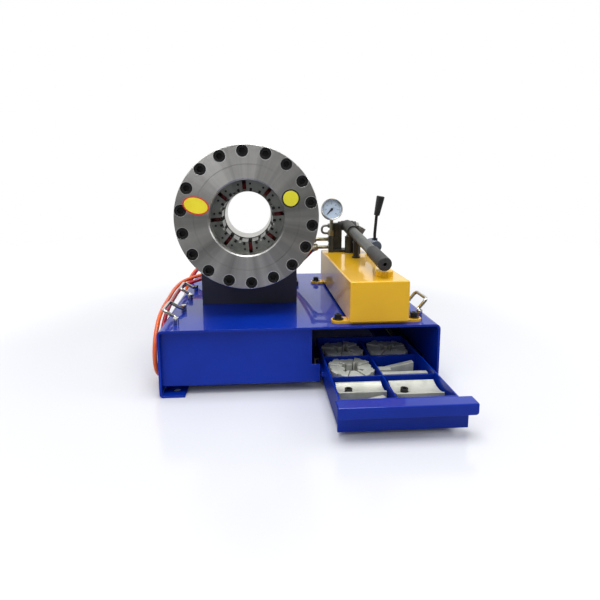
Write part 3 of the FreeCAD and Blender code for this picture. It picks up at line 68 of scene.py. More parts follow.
class Body(str, Enum):
    """Bodies of the frame that new pieces ride on."""

    FRAME = "frame"
    DRAWER = "drawer"


class Axis(Enum):
    """Directions in which a finish runs."""

    X = 0
    Y = 1


def tint(red: int, green: int, blue: int) -> Colour:
    """Linear colour of a paint chip read in 8-bit steps."""
    shares = [step / 255.0 for step in (red, green, blue)]
    return tuple(s / 12.92 if s <= 0.04045 else ((s + 0.055) / 1.055) ** 2.4 for s in shares)


class Board:
    """Places and joins shader nodes in one tree."""

    def __init__(self, tree: Tree) -> None:
        """Take the tree to work on."""
        self.tree = tree
        self.column = 0

    def feed(self, socket: Socket, value: Value) -> None:
        """Link an input to another socket, or give it a plain value.

        Args:
            socket: Input to feed.
            value: Output socket, number, vector or colour.
        """
        if isinstance(value, Socket):
            self.tree.links.new(value, socket)
        elif socket.type == "RGBA" and len(value) == 3:
            socket.default_value = (*value, 1.0)
        else:
            socket.default_value = value

    def put(self, kind: str, inputs: dict | None = None, **settings: object) -> Node:
        """Add one node.

        Args:
            kind: Node type.
            inputs: Socket names or numbers with what feeds them.
            **settings: Properties of the node itself.

        Returns:
            The new node.
        """
        node = self.tree.nodes.new(kind)
        node.location = (self.column * 190, -(self.column % 3) * 160)
        self.column += 1
        for name, value in settings.items():
            setattr(node, name, value)
        for name, value in (inputs or {}).items():
            self.feed(node.inputs[name], value)
        return node

    def group(self, tree: Tree, inputs: dict) -> Node:
        """Add a group node."""
        return self.put("ShaderNodeGroup", inputs, node_tree=tree)

    def math(self, operation: str, first: Value, second: Value = 0.0) -> Socket:
        """Work out a sum."""
        return self.put("ShaderNodeMath", {0: first, 1: second}, operation=operation).outputs[0]

    def hypotenuse(self, first: Socket, second: Socket) -> Socket:
        """Root of the sum of two squares."""
        squares = [self.math("MULTIPLY", side, side) for side in (first, second)]
        return self.math("SQRT", self.math("ADD", *squares))

    def span(self, value: Value, low: float, high: float, to_low: float = 0.0, to_high: float = 1.0,
             smooth: bool = True) -> Socket:
        """Carry a value from one range to another.

        Args:
            value: Value to carry.
            low: Lower end of its own range.
            high: Upper end of its own range.
            to_low: Result at the lower end.
            to_high: Result at the upper end.
            smooth: Whether the ends are eased.

        Returns:
            The result.
        """
        ends = {"Value": value, "From Min": low, "From Max": high, "To Min": to_low, "To Max": to_high}
        return self.put("ShaderNodeMapRange", ends,
                        interpolation_type="SMOOTHSTEP" if smooth else "LINEAR").outputs[0]

    def mix(self, factor: Value, first: Value, second: Value) -> Socket:
        """Blend two colours.

        Args:
            factor: Share of the second colour.
            first: First colour.
            second: Second colour.

        Returns:
            The blend.
        """
        node = self.put("ShaderNodeMix", data_type="RGBA")
        for name, value in (("Factor", factor), ("A", first), ("B", second)):
            self.feed(next(s for s in node.inputs if s.name == name and s.enabled), value)
        return next(s for s in node.outputs if s.enabled)


class Effects:
    """Shader groups that several finishes share, each built once."""

    made: dict[str, Tree] = {}

    @classmethod
    def start(cls, name: str, inputs: dict[str, str], outputs: dict[str, str]) -> tuple[Board, dict, Node]:
        """Open a new group with named sockets.

        Args:
            name: Name of the group.
            inputs: Input names and their socket kinds.
            outputs: Output names and their socket kinds.

        Returns:
            The board, the sockets that hold the inputs, and the output node.
        """
        tree = bpy.data.node_groups.new(name, "ShaderNodeTree")
        for way, sockets in (("INPUT", inputs), ("OUTPUT", outputs)):
            for label, kind in sockets.items():
                tree.interface.new_socket(label, in_out=way, socket_type="NodeSocket" + kind)
        board = Board(tree)
        cls.made[name] = tree
        given = board.put("NodeGroupInput").outputs
        return board, {label: given[label] for label in inputs}, board.put("NodeGroupOutput")

    @classmethod
    def tone(cls) -> Tree:
        """Soft patches between two colours.

        Returns:
            The group.
        """
        if "soft_tone" in cls.made:
            return cls.made["soft_tone"]
        board, given, result = cls.start(
            "soft_tone", {"Vector": "Vector", "Patch Scale": "Float", "Colour": "Color",
                          "Deep Colour": "Color"}, {"Colour": "Color"})
        cloud = board.put("ShaderNodeTexNoise", {"Vector": given["Vector"], "Scale": given["Patch Scale"],
                                                 "Detail": 5.0, "Roughness": 0.55})
        mask = board.span(cloud.outputs[0], 0.38, 0.66)
        board.feed(result.inputs["Colour"], board.mix(mask, given["Colour"], given["Deep Colour"]))
        return board.tree

    @classmethod
    def grain(cls) -> Tree:
        """Fine and coarse unevenness of a surface, as a height, and a roughness that varies with it.

        Returns:
            The group.
        """
        if "surface_grain" in cls.made:
            return cls.made["surface_grain"]
        board, given, result = cls.start(
            "surface_grain", {"Vector": "Vector", "Fine Scale": "Float", "Coarse Scale": "Float",
                              "Coarse Share": "Float", "Roughness": "Float", "Spread": "Float"},
            {"Height": "Float", "Roughness": "Float"})
        fine, coarse = (
            board.put("ShaderNodeTexNoise", {"Vector": given["Vector"], "Scale": given[scale],
                                             "Detail": detail}).outputs[0]
            for scale, detail in (("Fine Scale", 3.0), ("Coarse Scale", 2.0)))
        share = board.math("MULTIPLY", coarse, given["Coarse Share"])
        off = board.math("MULTIPLY", board.math("SUBTRACT", coarse, 0.5), given["Spread"])
        board.feed(result.inputs["Height"], board.math("ADD", fine, share))
        board.feed(result.inputs["Roughness"], board.math("ADD", given["Roughness"], off))
        return board.tree

    @classmethod
    def rings(cls) -> Tree:
        """Marks that a lathe leaves round an axis along Y, as a height and a tone.

        Returns:
            The group.
        """
        if "turned_rings" in cls.made:
            return cls.made["turned_rings"]
        board, given, result = cls.start(
            "turned_rings", {"Vector": "Vector", "Rings Per Metre": "Float"},
            {"Height": "Float", "Tone": "Float"})
        parts = board.put("ShaderNodeSeparateXYZ", {"Vector": given["Vector"]}).outputs
        turn = board.math("MULTIPLY", board.hypotenuse(parts[0], parts[2]), given["Rings Per Metre"])
        fine = board.put("ShaderNodeTexNoise", {"W": turn, "Scale": 1.0, "Detail": 4.0, "Roughness": 0.7},
                         noise_dimensions="1D").outputs[0]
        broad = board.put("ShaderNodeTexNoise", {"W": board.math("MULTIPLY", turn, 0.06), "Scale": 1.0,
                                                 "Detail": 2.0}, noise_dimensions="1D").outputs[0]
        board.feed(result.inputs["Height"], fine)
        board.feed(result.inputs["Tone"], board.math("ADD", board.math("MULTIPLY", fine, 0.6),
                                                     board.math("MULTIPLY", broad, 0.4)))
        return board.tree

    @classmethod
    def hole_rims(cls) -> Tree:
        """Rims round a circle of equal holes about an axis along Y, as a mask for a painted highlight.

        Returns:
            The group.
        """
        if "hole_rims" in cls.made:
            return cls.made["hole_rims"]
        board, given, result = cls.start(
            "hole_rims", {"Vector": "Vector", "Count": "Float", "First Turn": "Float",
                          "Circle Radius": "Float", "Rim Radius": "Float"}, {"Mask": "Float"})
        parts = board.put("ShaderNodeSeparateXYZ", {"Vector": given["Vector"]}).outputs
        reach = board.hypotenuse(parts[0], parts[2])
        turn = board.math("SUBTRACT", board.math("ARCTAN2", parts[2], parts[0]), given["First Turn"])
        step = board.math("DIVIDE", 2 * math.pi, given["Count"])
        share = board.math("DIVIDE", turn, step)
        swing = board.math("MULTIPLY", board.math("SUBTRACT", share, board.math("ROUND", share)), step)
        side, along = (board.math("MULTIPLY", board.math(way, swing), reach) for way in ("SINE", "COSINE"))
        distance = board.hypotenuse(side, board.math("SUBTRACT", along, given["Circle Radius"]))
        board.feed(result.inputs["Mask"], board.math("LESS_THAN", distance, given["Rim Radius"]))
        return board.tree

    @classmethod
    def strokes(cls) -> Tree:
        """Grinding strokes that run one way, as a height that also serves as a tone.

        Returns:
            The group.
        """
        if "ground_strokes" in cls.made:
            return cls.made["ground_strokes"]
        board, given, result = cls.start(
            "ground_strokes", {"Vector": "Vector", "Stretch": "Vector", "Scale": "Float"}, {"Height": "Float"})
        drawn = board.put("ShaderNodeVectorMath", {0: given["Vector"], 1: given["Stretch"]},
                          operation="MULTIPLY")
        streak = board.put("ShaderNodeTexNoise", {"Vector": drawn.outputs[0], "Scale": given["Scale"],
                                                  "Detail": 6.0, "Roughness": 0.65})
        board.feed(result.inputs["Height"], streak.outputs[0])
        return board.tree


@dataclass(frozen=True)
class Sheet:
    """Material in the making.

    Attributes:
        board: Board of its tree.
        shader: Its Principled shader.
        place: Object coordinates.
    """

    board: Board
    shader: Node
    place: Socket


@dataclass(frozen=True)
class Finish:
    """A finish with patches of tone, a grain and a plain gloss.

    Attributes:
        name: Name of the material.
        colour: Main colour.
        deep: Colour of the patches.
        roughness: Mean roughness.
        spread: How much the roughness varies.
        metallic: 1 for bare metal.
        coat: Weight of a clear coat.
        coat_roughness: Roughness of the clear coat.
        patch_scale: Patches per metre.
        fine_scale: Fine grains per metre.
        coarse_scale: Coarse waves per metre.
        coarse_share: Share of the coarse waves in the height.
        bump: Strength of the grain.
        depth: Height of the grain.
        specular: Specular level.
    """

    name: str
    colour: Colour
    deep: Colour
    roughness: float = 0.4
    spread: float = 0.1
    metallic: float = 0.0
    coat: float = 0.0
    coat_roughness: float = 0.03
    patch_scale: float = 6.0
    fine_scale: float = 900.0
    coarse_scale: float = 90.0
    coarse_share: float = 1.0
    bump: float = 0.2
    depth: float = 0.0004
    specular: float = 0.5

    def base(self) -> tuple[bpy.types.Material, Sheet]:
        """Start the material with its shader and its coordinates.

        Returns:
            The material and its sheet.
        """
        material = bpy.data.materials.new(self.name)
        material.use_nodes = True
        material.node_tree.nodes.clear()
        material.diffuse_color = (*self.colour, 1.0)
        board = Board(material.node_tree)
        place = board.put("ShaderNodeTexCoord").outputs["Object"]
        shader = board.put("ShaderNodeBsdfPrincipled", {
            "Metallic": self.metallic, "Coat Weight": self.coat, "Coat Roughness": self.coat_roughness,
            "Specular IOR Level": self.specular})
        board.put("ShaderNodeOutputMaterial", {"Surface": shader.outputs[0]})
        return material, Sheet(board, shader, place)

    def build(self) -> bpy.types.Material:
        """Make the material.

        Returns:
            The new material.
        """
        material, sheet = self.base()
        board = sheet.board
        tone = board.group(Effects.tone(), {"Vector": sheet.place, "Patch Scale": self.patch_scale,
                                            "Colour": self.colour, "Deep Colour": self.deep})
        grain = board.group(Effects.grain(), {
            "Vector": sheet.place, "Fine Scale": self.fine_scale, "Coarse Scale": self.coarse_scale,
            "Coarse Share": self.coarse_share, "Roughness": self.roughness, "Spread": self.spread})
        height = self.height_of(sheet, grain.outputs["Height"])
        relief = board.put("ShaderNodeBump", {"Height": height, "Strength": self.bump, "Distance": self.depth})
        for name, value in (("Base Color", self.colour_of(sheet, tone.outputs["Colour"])),
                            ("Roughness", grain.outputs["Roughness"]), ("Normal", relief.outputs[0])):
            board.feed(sheet.shader.inputs[name], value)
        self.polish(sheet)
        return material

    def colour_of(self, sheet: Sheet, colour: Socket) -> Socket:
        """Work out the final colour; the patchy one here."""
        return colour

    def height_of(self, sheet: Sheet, height: Socket) -> Socket:
        """Work out the final height; the grain's here."""
        return height

    def polish(self, sheet: Sheet) -> None:
        """Make the last settings of the shader; none here."""


@dataclass(frozen=True)
class TurnedFinish(Finish):
    """Metal turned on a lathe about an axis along Y.

    Attributes:
        centre: Point on the axis.
        rings: Rings per metre.
        mark: Colour between the rings, and the colour that the painted sector shade darkens towards.
        mark_share: How strongly the rings show.
        anisotropy: Stretch of the highlights outwards from the axis.
        painted_sector_share: How strongly the painted reflection shows as lighter and darker sectors round the
            axis.
        painted_sector_scale: How often the painted reflection sectors change.
        painted_shade_lean: Direction towards which the painted sector shade darkens.
        painted_sector_ends: Where the painted shade of a sector starts and where it is darkest.
        rim: Colour of the rims round the holes, a painted highlight.
        rim_count: Number of the holes, 0 for none.
        rim_first: Direction of the first hole in degrees.
        rim_circle: Radius of the circle that the holes are on.
        rim_radius: Outer radius of a rim.
        rim_depth: The rims show only in front of this Y.
    """

    centre: Point = (-0.115, 0.0, 0.385)
    rings: float = 1400.0
    mark: Colour = (0.2, 0.2, 0.2)
    mark_share: float = 0.35
    anisotropy: float = 0.0
    painted_sector_share: float = 0.0
    painted_sector_scale: float = 2.3
    painted_shade_lean: Point = (0.10, 0.0, -0.08)
    painted_sector_ends: tuple[float, float] = (0.36, 0.66)
    rim: Colour = (0.8, 0.8, 0.8)
    rim_count: int = 0
    rim_first: float = 93.0
    rim_circle: float = 0.1495
    rim_radius: float = 0.0149
    rim_depth: float = -0.2022

    def centred(self, sheet: Sheet) -> Socket:
        """Measure the coordinates from the axis."""
        return sheet.board.put("ShaderNodeMapping", {
            "Vector": sheet.place, "Location": tuple(-part for part in self.centre)}).outputs[0]

    def outwards(self, sheet: Sheet) -> Socket:
        """Find the direction outwards from the axis.

        Args:
            sheet: Material in the making.

        Returns:
            The direction.
        """
        flat = sheet.board.put("ShaderNodeVectorMath", {0: self.centred(sheet), 1: (1.0, 0.0, 1.0)},
                               operation="MULTIPLY")
        return sheet.board.put("ShaderNodeVectorMath", {0: flat.outputs[0]}, operation="NORMALIZE").outputs[0]

    def turned(self, sheet: Sheet) -> Node:
        """Add the rings, centred on the axis."""
        return sheet.board.group(Effects.rings(), {"Vector": self.centred(sheet),
                                                   "Rings Per Metre": self.rings})

    def paint_reflection_sectors(self, sheet: Sheet, colour: Socket) -> Socket:
        """Paint reflection into the colour as darker sectors round the axis.

        Args:
            sheet: Material in the making.
            colour: Colour so far.

        Returns:
            The colour with the painted reflection sectors.
        """
        board, way = sheet.board, self.outwards(sheet)
        cloud = board.put("ShaderNodeTexNoise", {"Vector": way, "Scale": self.painted_sector_scale, "Detail": 4.0,
                                                 "Roughness": 0.6})
        lean = board.put("ShaderNodeVectorMath", {0: way, 1: self.painted_shade_lean}, operation="DOT_PRODUCT")
        # painted shade: noisy sectors that lean one way darken towards the ring marks' colour and stand in for
        # the turned metal's reflections
        dark = board.span(board.math("ADD", cloud.outputs[0], lean.outputs["Value"]), *self.painted_sector_ends,
                          to_high=self.painted_sector_share, smooth=False)
        return board.mix(dark, colour, self.mark)

    def paint_rim_highlight(self, sheet: Sheet, colour: Socket) -> Socket:
        """Paint a highlight as lighter rims round the holes.

        Args:
            sheet: Material in the making.
            colour: Colour so far.

        Returns:
            The colour with the painted highlight rims.
        """
        board = sheet.board
        # painted highlight: lighter rims round the bolt holes on the cover's face
        rims = board.group(Effects.hole_rims(), {
            "Vector": self.centred(sheet), "Count": float(self.rim_count),
            "First Turn": math.radians(self.rim_first), "Circle Radius": self.rim_circle,
            "Rim Radius": self.rim_radius})
        parts = board.put("ShaderNodeSeparateXYZ", {"Vector": sheet.place})
        in_front = board.math("LESS_THAN", parts.outputs[1], self.rim_depth)
        return board.mix(board.math("MULTIPLY", rims.outputs["Mask"], in_front), colour, self.rim)

    def colour_of(self, sheet: Sheet, colour: Socket) -> Socket:
        """Darken the marks between the rings, then add the painted reflection sectors and the painted
        highlight rims where the finish has them.

        Args:
            sheet: Material in the making.
            colour: Patchy colour.

        Returns:
            The final colour.
        """
        share = sheet.board.math("MULTIPLY", self.turned(sheet).outputs["Tone"], self.mark_share)
        shown = sheet.board.mix(share, colour, self.mark)
        if self.painted_sector_share:
            shown = self.paint_reflection_sectors(sheet, shown)
        if self.rim_count:
            shown = self.paint_rim_highlight(sheet, shown)
        return shown

    def height_of(self, sheet: Sheet, height: Socket) -> Socket:
        """Lay the rings on the grain."""
        return sheet.board.math("ADD", height, self.turned(sheet).outputs["Height"])

    def polish(self, sheet: Sheet) -> None:
        """Stretch the highlights outwards from the axis.

        Args:
            sheet: Material in the making.
        """
        if self.anisotropy:
            sheet.board.feed(sheet.shader.inputs["Anisotropic"], self.anisotropy)
            sheet.board.feed(sheet.shader.inputs["Tangent"], self.outwards(sheet))


@dataclass(frozen=True)
class GroundFinish(Finish):
    """Metal with grinding strokes along one axis.

    Attributes:
        along: Axis along which the strokes run.
        stretch: Scale of the strokes along that axis.
        stroke_scale: Strokes per metre across them.
        mark: Colour between the strokes.
        mark_share: How strongly the strokes show.
    """

    along: Axis = Axis.X
    stretch: float = 0.05
    stroke_scale: float = 700.0
    mark: Colour = (0.15, 0.15, 0.15)
    mark_share: float = 0.4

    def ground(self, sheet: Sheet) -> Socket:
        """Add the strokes.

        Args:
            sheet: Material in the making.

        Returns:
            Their height.
        """
        stretch = tuple(self.stretch if axis == self.along.value else 1.0 for axis in range(3))
        return sheet.board.group(Effects.strokes(), {"Vector": sheet.place, "Stretch": stretch,
                                                     "Scale": self.stroke_scale}).outputs["Height"]

    def colour_of(self, sheet: Sheet, colour: Socket) -> Socket:
        """Darken the strokes."""
        share = sheet.board.math("MULTIPLY", self.ground(sheet), self.mark_share)
        return sheet.board.mix(share, colour, self.mark)

    def height_of(self, sheet: Sheet, height: Socket) -> Socket:
        """Lay the strokes on the grain."""
        return sheet.board.math("ADD", height, self.ground(sheet))


@dataclass(frozen=True)
class GlassFinish(Finish):
    """Clear flat glass with faint smears.

    Attributes:
        refraction: Index of refraction, low because the pane is thin.
    """

    refraction: float = 1.1

    def polish(self, sheet: Sheet) -> None:
        """Let light through."""
        sheet.board.feed(sheet.shader.inputs["Transmission Weight"], 1.0)
        sheet.board.feed(sheet.shader.inputs["IOR"], self.refraction)


BLUE = tint(4, 48, 166)
BLUE_DEEP = tint(3, 42, 152)
YELLOW = tint(238, 184, 10)
YELLOW_DEEP = tint(232, 176, 8)


@dataclass
class Palette:
    """Finishes by the record's material slot.

    Attributes:
        finishes: Finish of each slot.
        made: Materials made so far, by the name of their finish.
    """

    finishes: dict[str, Finish] = field(default_factory=lambda: {
        "blue_paint": Finish("blue_paint_gloss", BLUE, BLUE_DEEP, 0.42, 0.06, coat=0.6,
                             patch_scale=5.0, fine_scale=420.0, coarse_scale=70.0, bump=0.05, depth=0.0006,
                             specular=0.12),
        "black_block": Finish("black_block_paint", tint(52, 53, 66), tint(44, 45, 57), 0.42, 0.12,
                              fine_scale=1300.0, coarse_scale=160.0, bump=0.22),
        # The cover's darker sectors are painted reflection.
        "brushed_steel": TurnedFinish("turned_cover_steel", tint(246, 245, 241), tint(232, 231, 227),
                                      0.42, 0.08, metallic=1.0, patch_scale=9.0, bump=0.12,
                                      depth=0.00015, rings=1500.0,
                                      mark=tint(146, 146, 145), mark_share=0.30, anisotropy=0.7,
                                      # Lighter rims round the cover's holes are a painted highlight.
                                      painted_sector_share=0.75, rim=tint(252, 252, 250), rim_count=18),
        "black_bolt": Finish("black_oxide_bolt", tint(36, 36, 37), tint(28, 28, 29), 0.46, 0.15, metallic=0.35,
                             patch_scale=60.0, fine_scale=1800.0, coarse_scale=300.0, bump=0.2),
        "chrome": Finish("bright_chrome", tint(205, 203, 198), tint(192, 190, 184), 0.12, 0.05, metallic=1.0,
                         patch_scale=30.0, fine_scale=900.0, bump=0.04),
        "shoe_steel": TurnedFinish("shoe_turned_steel", tint(168, 171, 166), tint(140, 143, 138), 0.44, 0.12,
                                   metallic=0.8, patch_scale=25.0, bump=0.12, rings=900.0,
                                   mark=tint(84, 87, 83), mark_share=0.45),
        "bore_steel": TurnedFinish("bore_ground_steel", tint(198, 196, 190), tint(180, 178, 172), 0.3, 0.1,
                                   metallic=1.0, patch_scale=20.0, bump=0.1, rings=1200.0,
                                   mark=tint(130, 130, 126), mark_share=0.35),
        "spring_red": Finish("spring_red_lacquer", tint(118, 16, 22), tint(92, 10, 14), 0.38, 0.1,
                             patch_scale=80.0, fine_scale=1500.0, bump=0.15),
        "yellow_paint": Finish("yellow_paint_gloss", YELLOW, YELLOW_DEEP, 0.36, 0.06, coat=0.7,
                               coat_roughness=0.06, patch_scale=6.0, fine_scale=420.0, coarse_scale=80.0,
                               bump=0.07, depth=0.0006),
        "dark_cast": Finish("dark_cast_iron", tint(62, 63, 60), tint(46, 47, 45), 0.55, 0.15, metallic=0.2,
                            patch_scale=35.0, fine_scale=1100.0, coarse_scale=330.0, bump=0.45, depth=0.0007),
        "dark_tube": Finish("dark_tube_paint", tint(86, 88, 84), tint(70, 72, 69), 0.4, 0.12, metallic=0.2,
                            patch_scale=22.0, fine_scale=1200.0, coarse_scale=210.0, bump=0.2),
        "black_rubber": Finish("black_grip_rubber", tint(52, 53, 52), tint(42, 43, 42), 0.58, 0.12,
                               patch_scale=50.0, fine_scale=1600.0, coarse_scale=260.0, bump=0.3),
        "black_plastic": Finish("black_moulded_plastic", tint(30, 31, 33), tint(22, 23, 25), 0.38, 0.1,
                                patch_scale=45.0, fine_scale=1700.0, coarse_scale=200.0, bump=0.15),
        "yellow_plastic": Finish("yellow_cap_plastic", tint(244, 196, 16), tint(236, 186, 12), 0.34, 0.08,
                                 patch_scale=50.0, fine_scale=1500.0, coarse_scale=180.0, bump=0.1),
        "zinc": Finish("zinc_plate", tint(176, 172, 150), tint(150, 144, 118), 0.32, 0.12, metallic=1.0,
                       patch_scale=45.0, fine_scale=1500.0, coarse_scale=320.0, bump=0.15),
        "plain_steel": GroundFinish("plain_ground_steel", tint(168, 167, 163), tint(140, 139, 136), 0.34, 0.12,
                                    metallic=1.0, patch_scale=40.0, bump=0.15, along=Axis.Y,
                                    mark=tint(100, 99, 97), mark_share=0.35),
        "die_steel": GroundFinish("die_ground_steel", tint(214, 216, 207), tint(188, 190, 181), 0.5, 0.16,
                                  metallic=0.3, patch_scale=30.0, bump=0.22, along=Axis.X,
                                  mark=tint(140, 142, 135), mark_share=0.4),
        "dial_white": Finish("dial_card", tint(206, 216, 230), tint(198, 209, 225), 0.5, 0.05,
                             patch_scale=60.0, fine_scale=1500.0, bump=0.03),
        "needle_black": Finish("needle_lacquer", tint(24, 24, 26), tint(18, 18, 20), 0.4, 0.06,
                               patch_scale=90.0, bump=0.05),
        "clear_glass": GlassFinish("gauge_window", tint(244, 248, 252), tint(240, 245, 250), 0.03, 0.02,
                                   patch_scale=40.0, bump=0.01),
        "orange_hose": Finish("orange_hose_rubber", tint(240, 104, 44), tint(228, 92, 36), 0.36, 0.1,
                              coat=0.2, patch_scale=18.0, fine_scale=900.0, coarse_scale=240.0, bump=0.12),
        "crimson_hose": Finish("crimson_hose_rubber", tint(176, 30, 52), tint(158, 24, 44), 0.36, 0.1,
                               coat=0.2, patch_scale=18.0, fine_scale=900.0, coarse_scale=240.0, bump=0.12),
        "valve_grey": Finish("valve_blue_grey_paint", tint(92, 100, 112), tint(78, 86, 98), 0.34, 0.1,
                             metallic=0.3, patch_scale=40.0, fine_scale=1200.0, bump=0.12),
    })
    made: dict[str, bpy.types.Material] = field(default_factory=dict)

    def material(self, slot: str) -> bpy.types.Material:
        """Find the material of a slot, built at its first use."""
        return self.special(self.finishes[slot])

    def special(self, finish: Finish) -> bpy.types.Material:
        """Find the material of a finish, built at its first use.

        Args:
            finish: Finish of a slot, or one that belongs to none.

        Returns:
            The material.
        """
        if finish.name not in self.made:
            self.made[finish.name] = finish.build()
        return self.made[finish.name]


class Bench:
    """Turns finished bmeshes into pieces that ride on bodies."""

    def __init__(self, palette: Palette) -> None:
        """Take the palette."""
        self.palette = palette

    def piece(self, name: str, bm: Mesh, body: str, slot: str, finish: Finish | None = None,
              replaces: tuple[str, ...] = (), smooth_angle: float = 38.0) -> bpy.types.Object:
        """Make one piece of the object.

        Args:
            name: Name of the piece.
            bm: Finished shape, in place, which is freed here.
            body: Body that the piece rides on.
            slot: Material slot of the record.
            finish: Own finish, where the slot's doesn't serve.
            replaces: CAD nodes that the piece stands for.
            smooth_angle: Edges sharper than this many degrees stay sharp.

        Returns:
            The new object.
        """
        mesh = bpy.data.meshes.new(name)
        bm.to_mesh(mesh)
        bm.free()
        mesh.polygons.foreach_set("use_smooth", [True] * len(mesh.polygons))
        mesh.set_sharp_from_angle(angle=math.radians(smooth_angle))
        thing = bpy.data.objects.new(name, mesh)
        bpy.context.scene.collection.objects.link(thing)
        mesh.materials.append(self.palette.special(finish) if finish else self.palette.material(slot))
        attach(thing, body)
        if replaces:
            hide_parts(*replaces)
        log.info("piece %s rides on %s: %d faces", name, body, len(mesh.polygons))
        return thing


@dataclass
class Dressing:
    """Softened copies of the CAD nodes, each in its slot's finish.

    Attributes:
        bench: Bench that makes the pieces.
        plain_edge: Width of a softened edge where no other is named.
        edges: Width of the softened edges by node.
        kept: Nodes that stay as they are.
        unjoined: Nodes whose flat triangles stay apart, since joining them leaves faces without area.
        angle: Edges sharper than this many degrees are softened.
        merge_within: Corners closer than this are one.
        flat_within: Triangles within this many degrees of each other are joined.
        even_weight: Weight of the large faces in the normals.
    """

    bench: Bench
    plain_edge: float = 0.0003
    edges: dict[str, float] = field(default_factory=lambda: {
        "base_frame": 0.0008, "front_panel": 0.0006, "rear_panel": 0.0006, "head_support": 0.0016,
        "front_cover": 0.0009, "head_cylinder": 0.0006, "pump_casting": 0.0012, "valve_body": 0.0006,
        "drawer_front": 0.0014, "drawer_tray": 0.0005, "die_set_a": 0.0005, "die_set_b": 0.0005,
        "die_set_c": 0.0005, "long_dies": 0.0005, "adapter_dies": 0.0005, "gauge_stem": 0.0002,
        "hose_fittings": 0.0004, "lever_socket": 0.0008})
    kept: tuple[str, ...] = ("gauge_case", "gauge_dial", "gauge_glass", "gauge_needle", "hose_orange",
                             "hose_crimson", "shoe_springs")
    unjoined: tuple[str, ...] = ("release_knob",)
    angle: float = 32.0
    merge_within: float = 2e-6
    flat_within: float = 0.4
    even_weight: int = 60

    def dress(self, node: str, body: str, slot: str) -> None:
        """Make the softened copy of one node.

        Args:
            node: Name of the CAD node.
            body: Body that it rides on.
            slot: Material slot.
        """
        bm = bmesh.new()
        bm.from_mesh(frame["nodes"][node].data)
        bmesh.ops.remove_doubles(bm, verts=bm.verts, dist=self.merge_within)
        if node not in self.unjoined:
            bmesh.ops.dissolve_limit(bm, angle_limit=math.radians(self.flat_within), verts=bm.verts,
                                     edges=bm.edges)
        thing = self.bench.piece(node + "_dressed", bm, body, slot, replaces=(node,), smooth_angle=self.angle)
        soften = thing.modifiers.new("soft_edges", "BEVEL")
        soften.width = self.edges.get(node, self.plain_edge)
        soften.segments = 2
        soften.limit_method = "ANGLE"
        soften.angle_limit = math.radians(self.angle)
        soften.use_clamp_overlap = True
        even = thing.modifiers.new("even_normals", "WEIGHTED_NORMAL")
        even.keep_sharp = True
        even.weight = self.even_weight

    def build(self) -> None:
        """Dress every node but the kept ones, which get their material alone."""
        held = frame["record"]["behaviour"]["bodies"]
        bodies = {node: body for body, nodes in held.items() for node in nodes}
        for row in frame["record"]["subparts"]:
            name, slot = row["node"], row["material_slot"]
            if name not in self.kept:
                self.dress(name, bodies[name], slot)
                continue
            materials = frame["nodes"][name].data.materials
            materials.clear()
            materials.append(self.bench.palette.material(slot))


def lathe(bm: Mesh, outline: list[tuple[float, float]], steps: int, place: Matrix) -> None:
    """Spin an outline of radius and height about Z into a closed shape.

    Args:
        bm: Mesh to add to.
        outline: Radius and height of each point, from the bottom to the top.
        steps: Steps round the axis.
        place: Where the shape goes.
    """
    before = set(bm.verts)
    verts = [bm.verts.new((radius, 0.0, height)) for radius, height in outline]
    edges = [bm.edges.new(pair) for pair in zip(verts, verts[1:])]
    bmesh.ops.spin(bm, geom=verts + edges, cent=(0, 0, 0), axis=(0, 0, 1), dvec=(0, 0, 0),
                   angle=2 * math.pi, steps=steps, use_merge=True, use_normal_flip=False)
    bmesh.ops.remove_doubles(bm, verts=[v for v in bm.verts if v not in before], dist=1e-7)
    fresh = [v for v in bm.verts if v not in before]
    bmesh.ops.recalc_face_normals(bm, faces=list({f for v in fresh for f in v.link_faces}))
    bmesh.ops.transform(bm, matrix=place, verts=fresh)


def rounded_box(bm: Mesh, size: Point, edge: float, place: Matrix) -> None:
    """Add a box with rounded edges.

    Args:
        bm: Mesh to add to.
        size: Its three sides.
        edge: Width of the rounded edges.
        place: Where the box's middle and axes go.
    """
    before = set(bm.verts)
    corners = bmesh.ops.create_cube(bm, size=1.0)["verts"]
    bmesh.ops.scale(bm, vec=size, verts=corners)
    borders = list({e for v in corners for e in v.link_edges})
    bmesh.ops.bevel(bm, geom=borders, offset=edge, offset_type="OFFSET", segments=2, profile=0.5,
                    affect="EDGES", clamp_overlap=True, material=-1)
    bmesh.ops.transform(bm, matrix=place, verts=[v for v in bm.verts if v not in before])


def looking(at: Vector, towards: Vector) -> Matrix:
    """Stand a shape that is built along Z at a point."""
    return Matrix.Translation(at) @ towards.normalized().to_track_quat("Z", "Y").to_matrix().to_4x4()


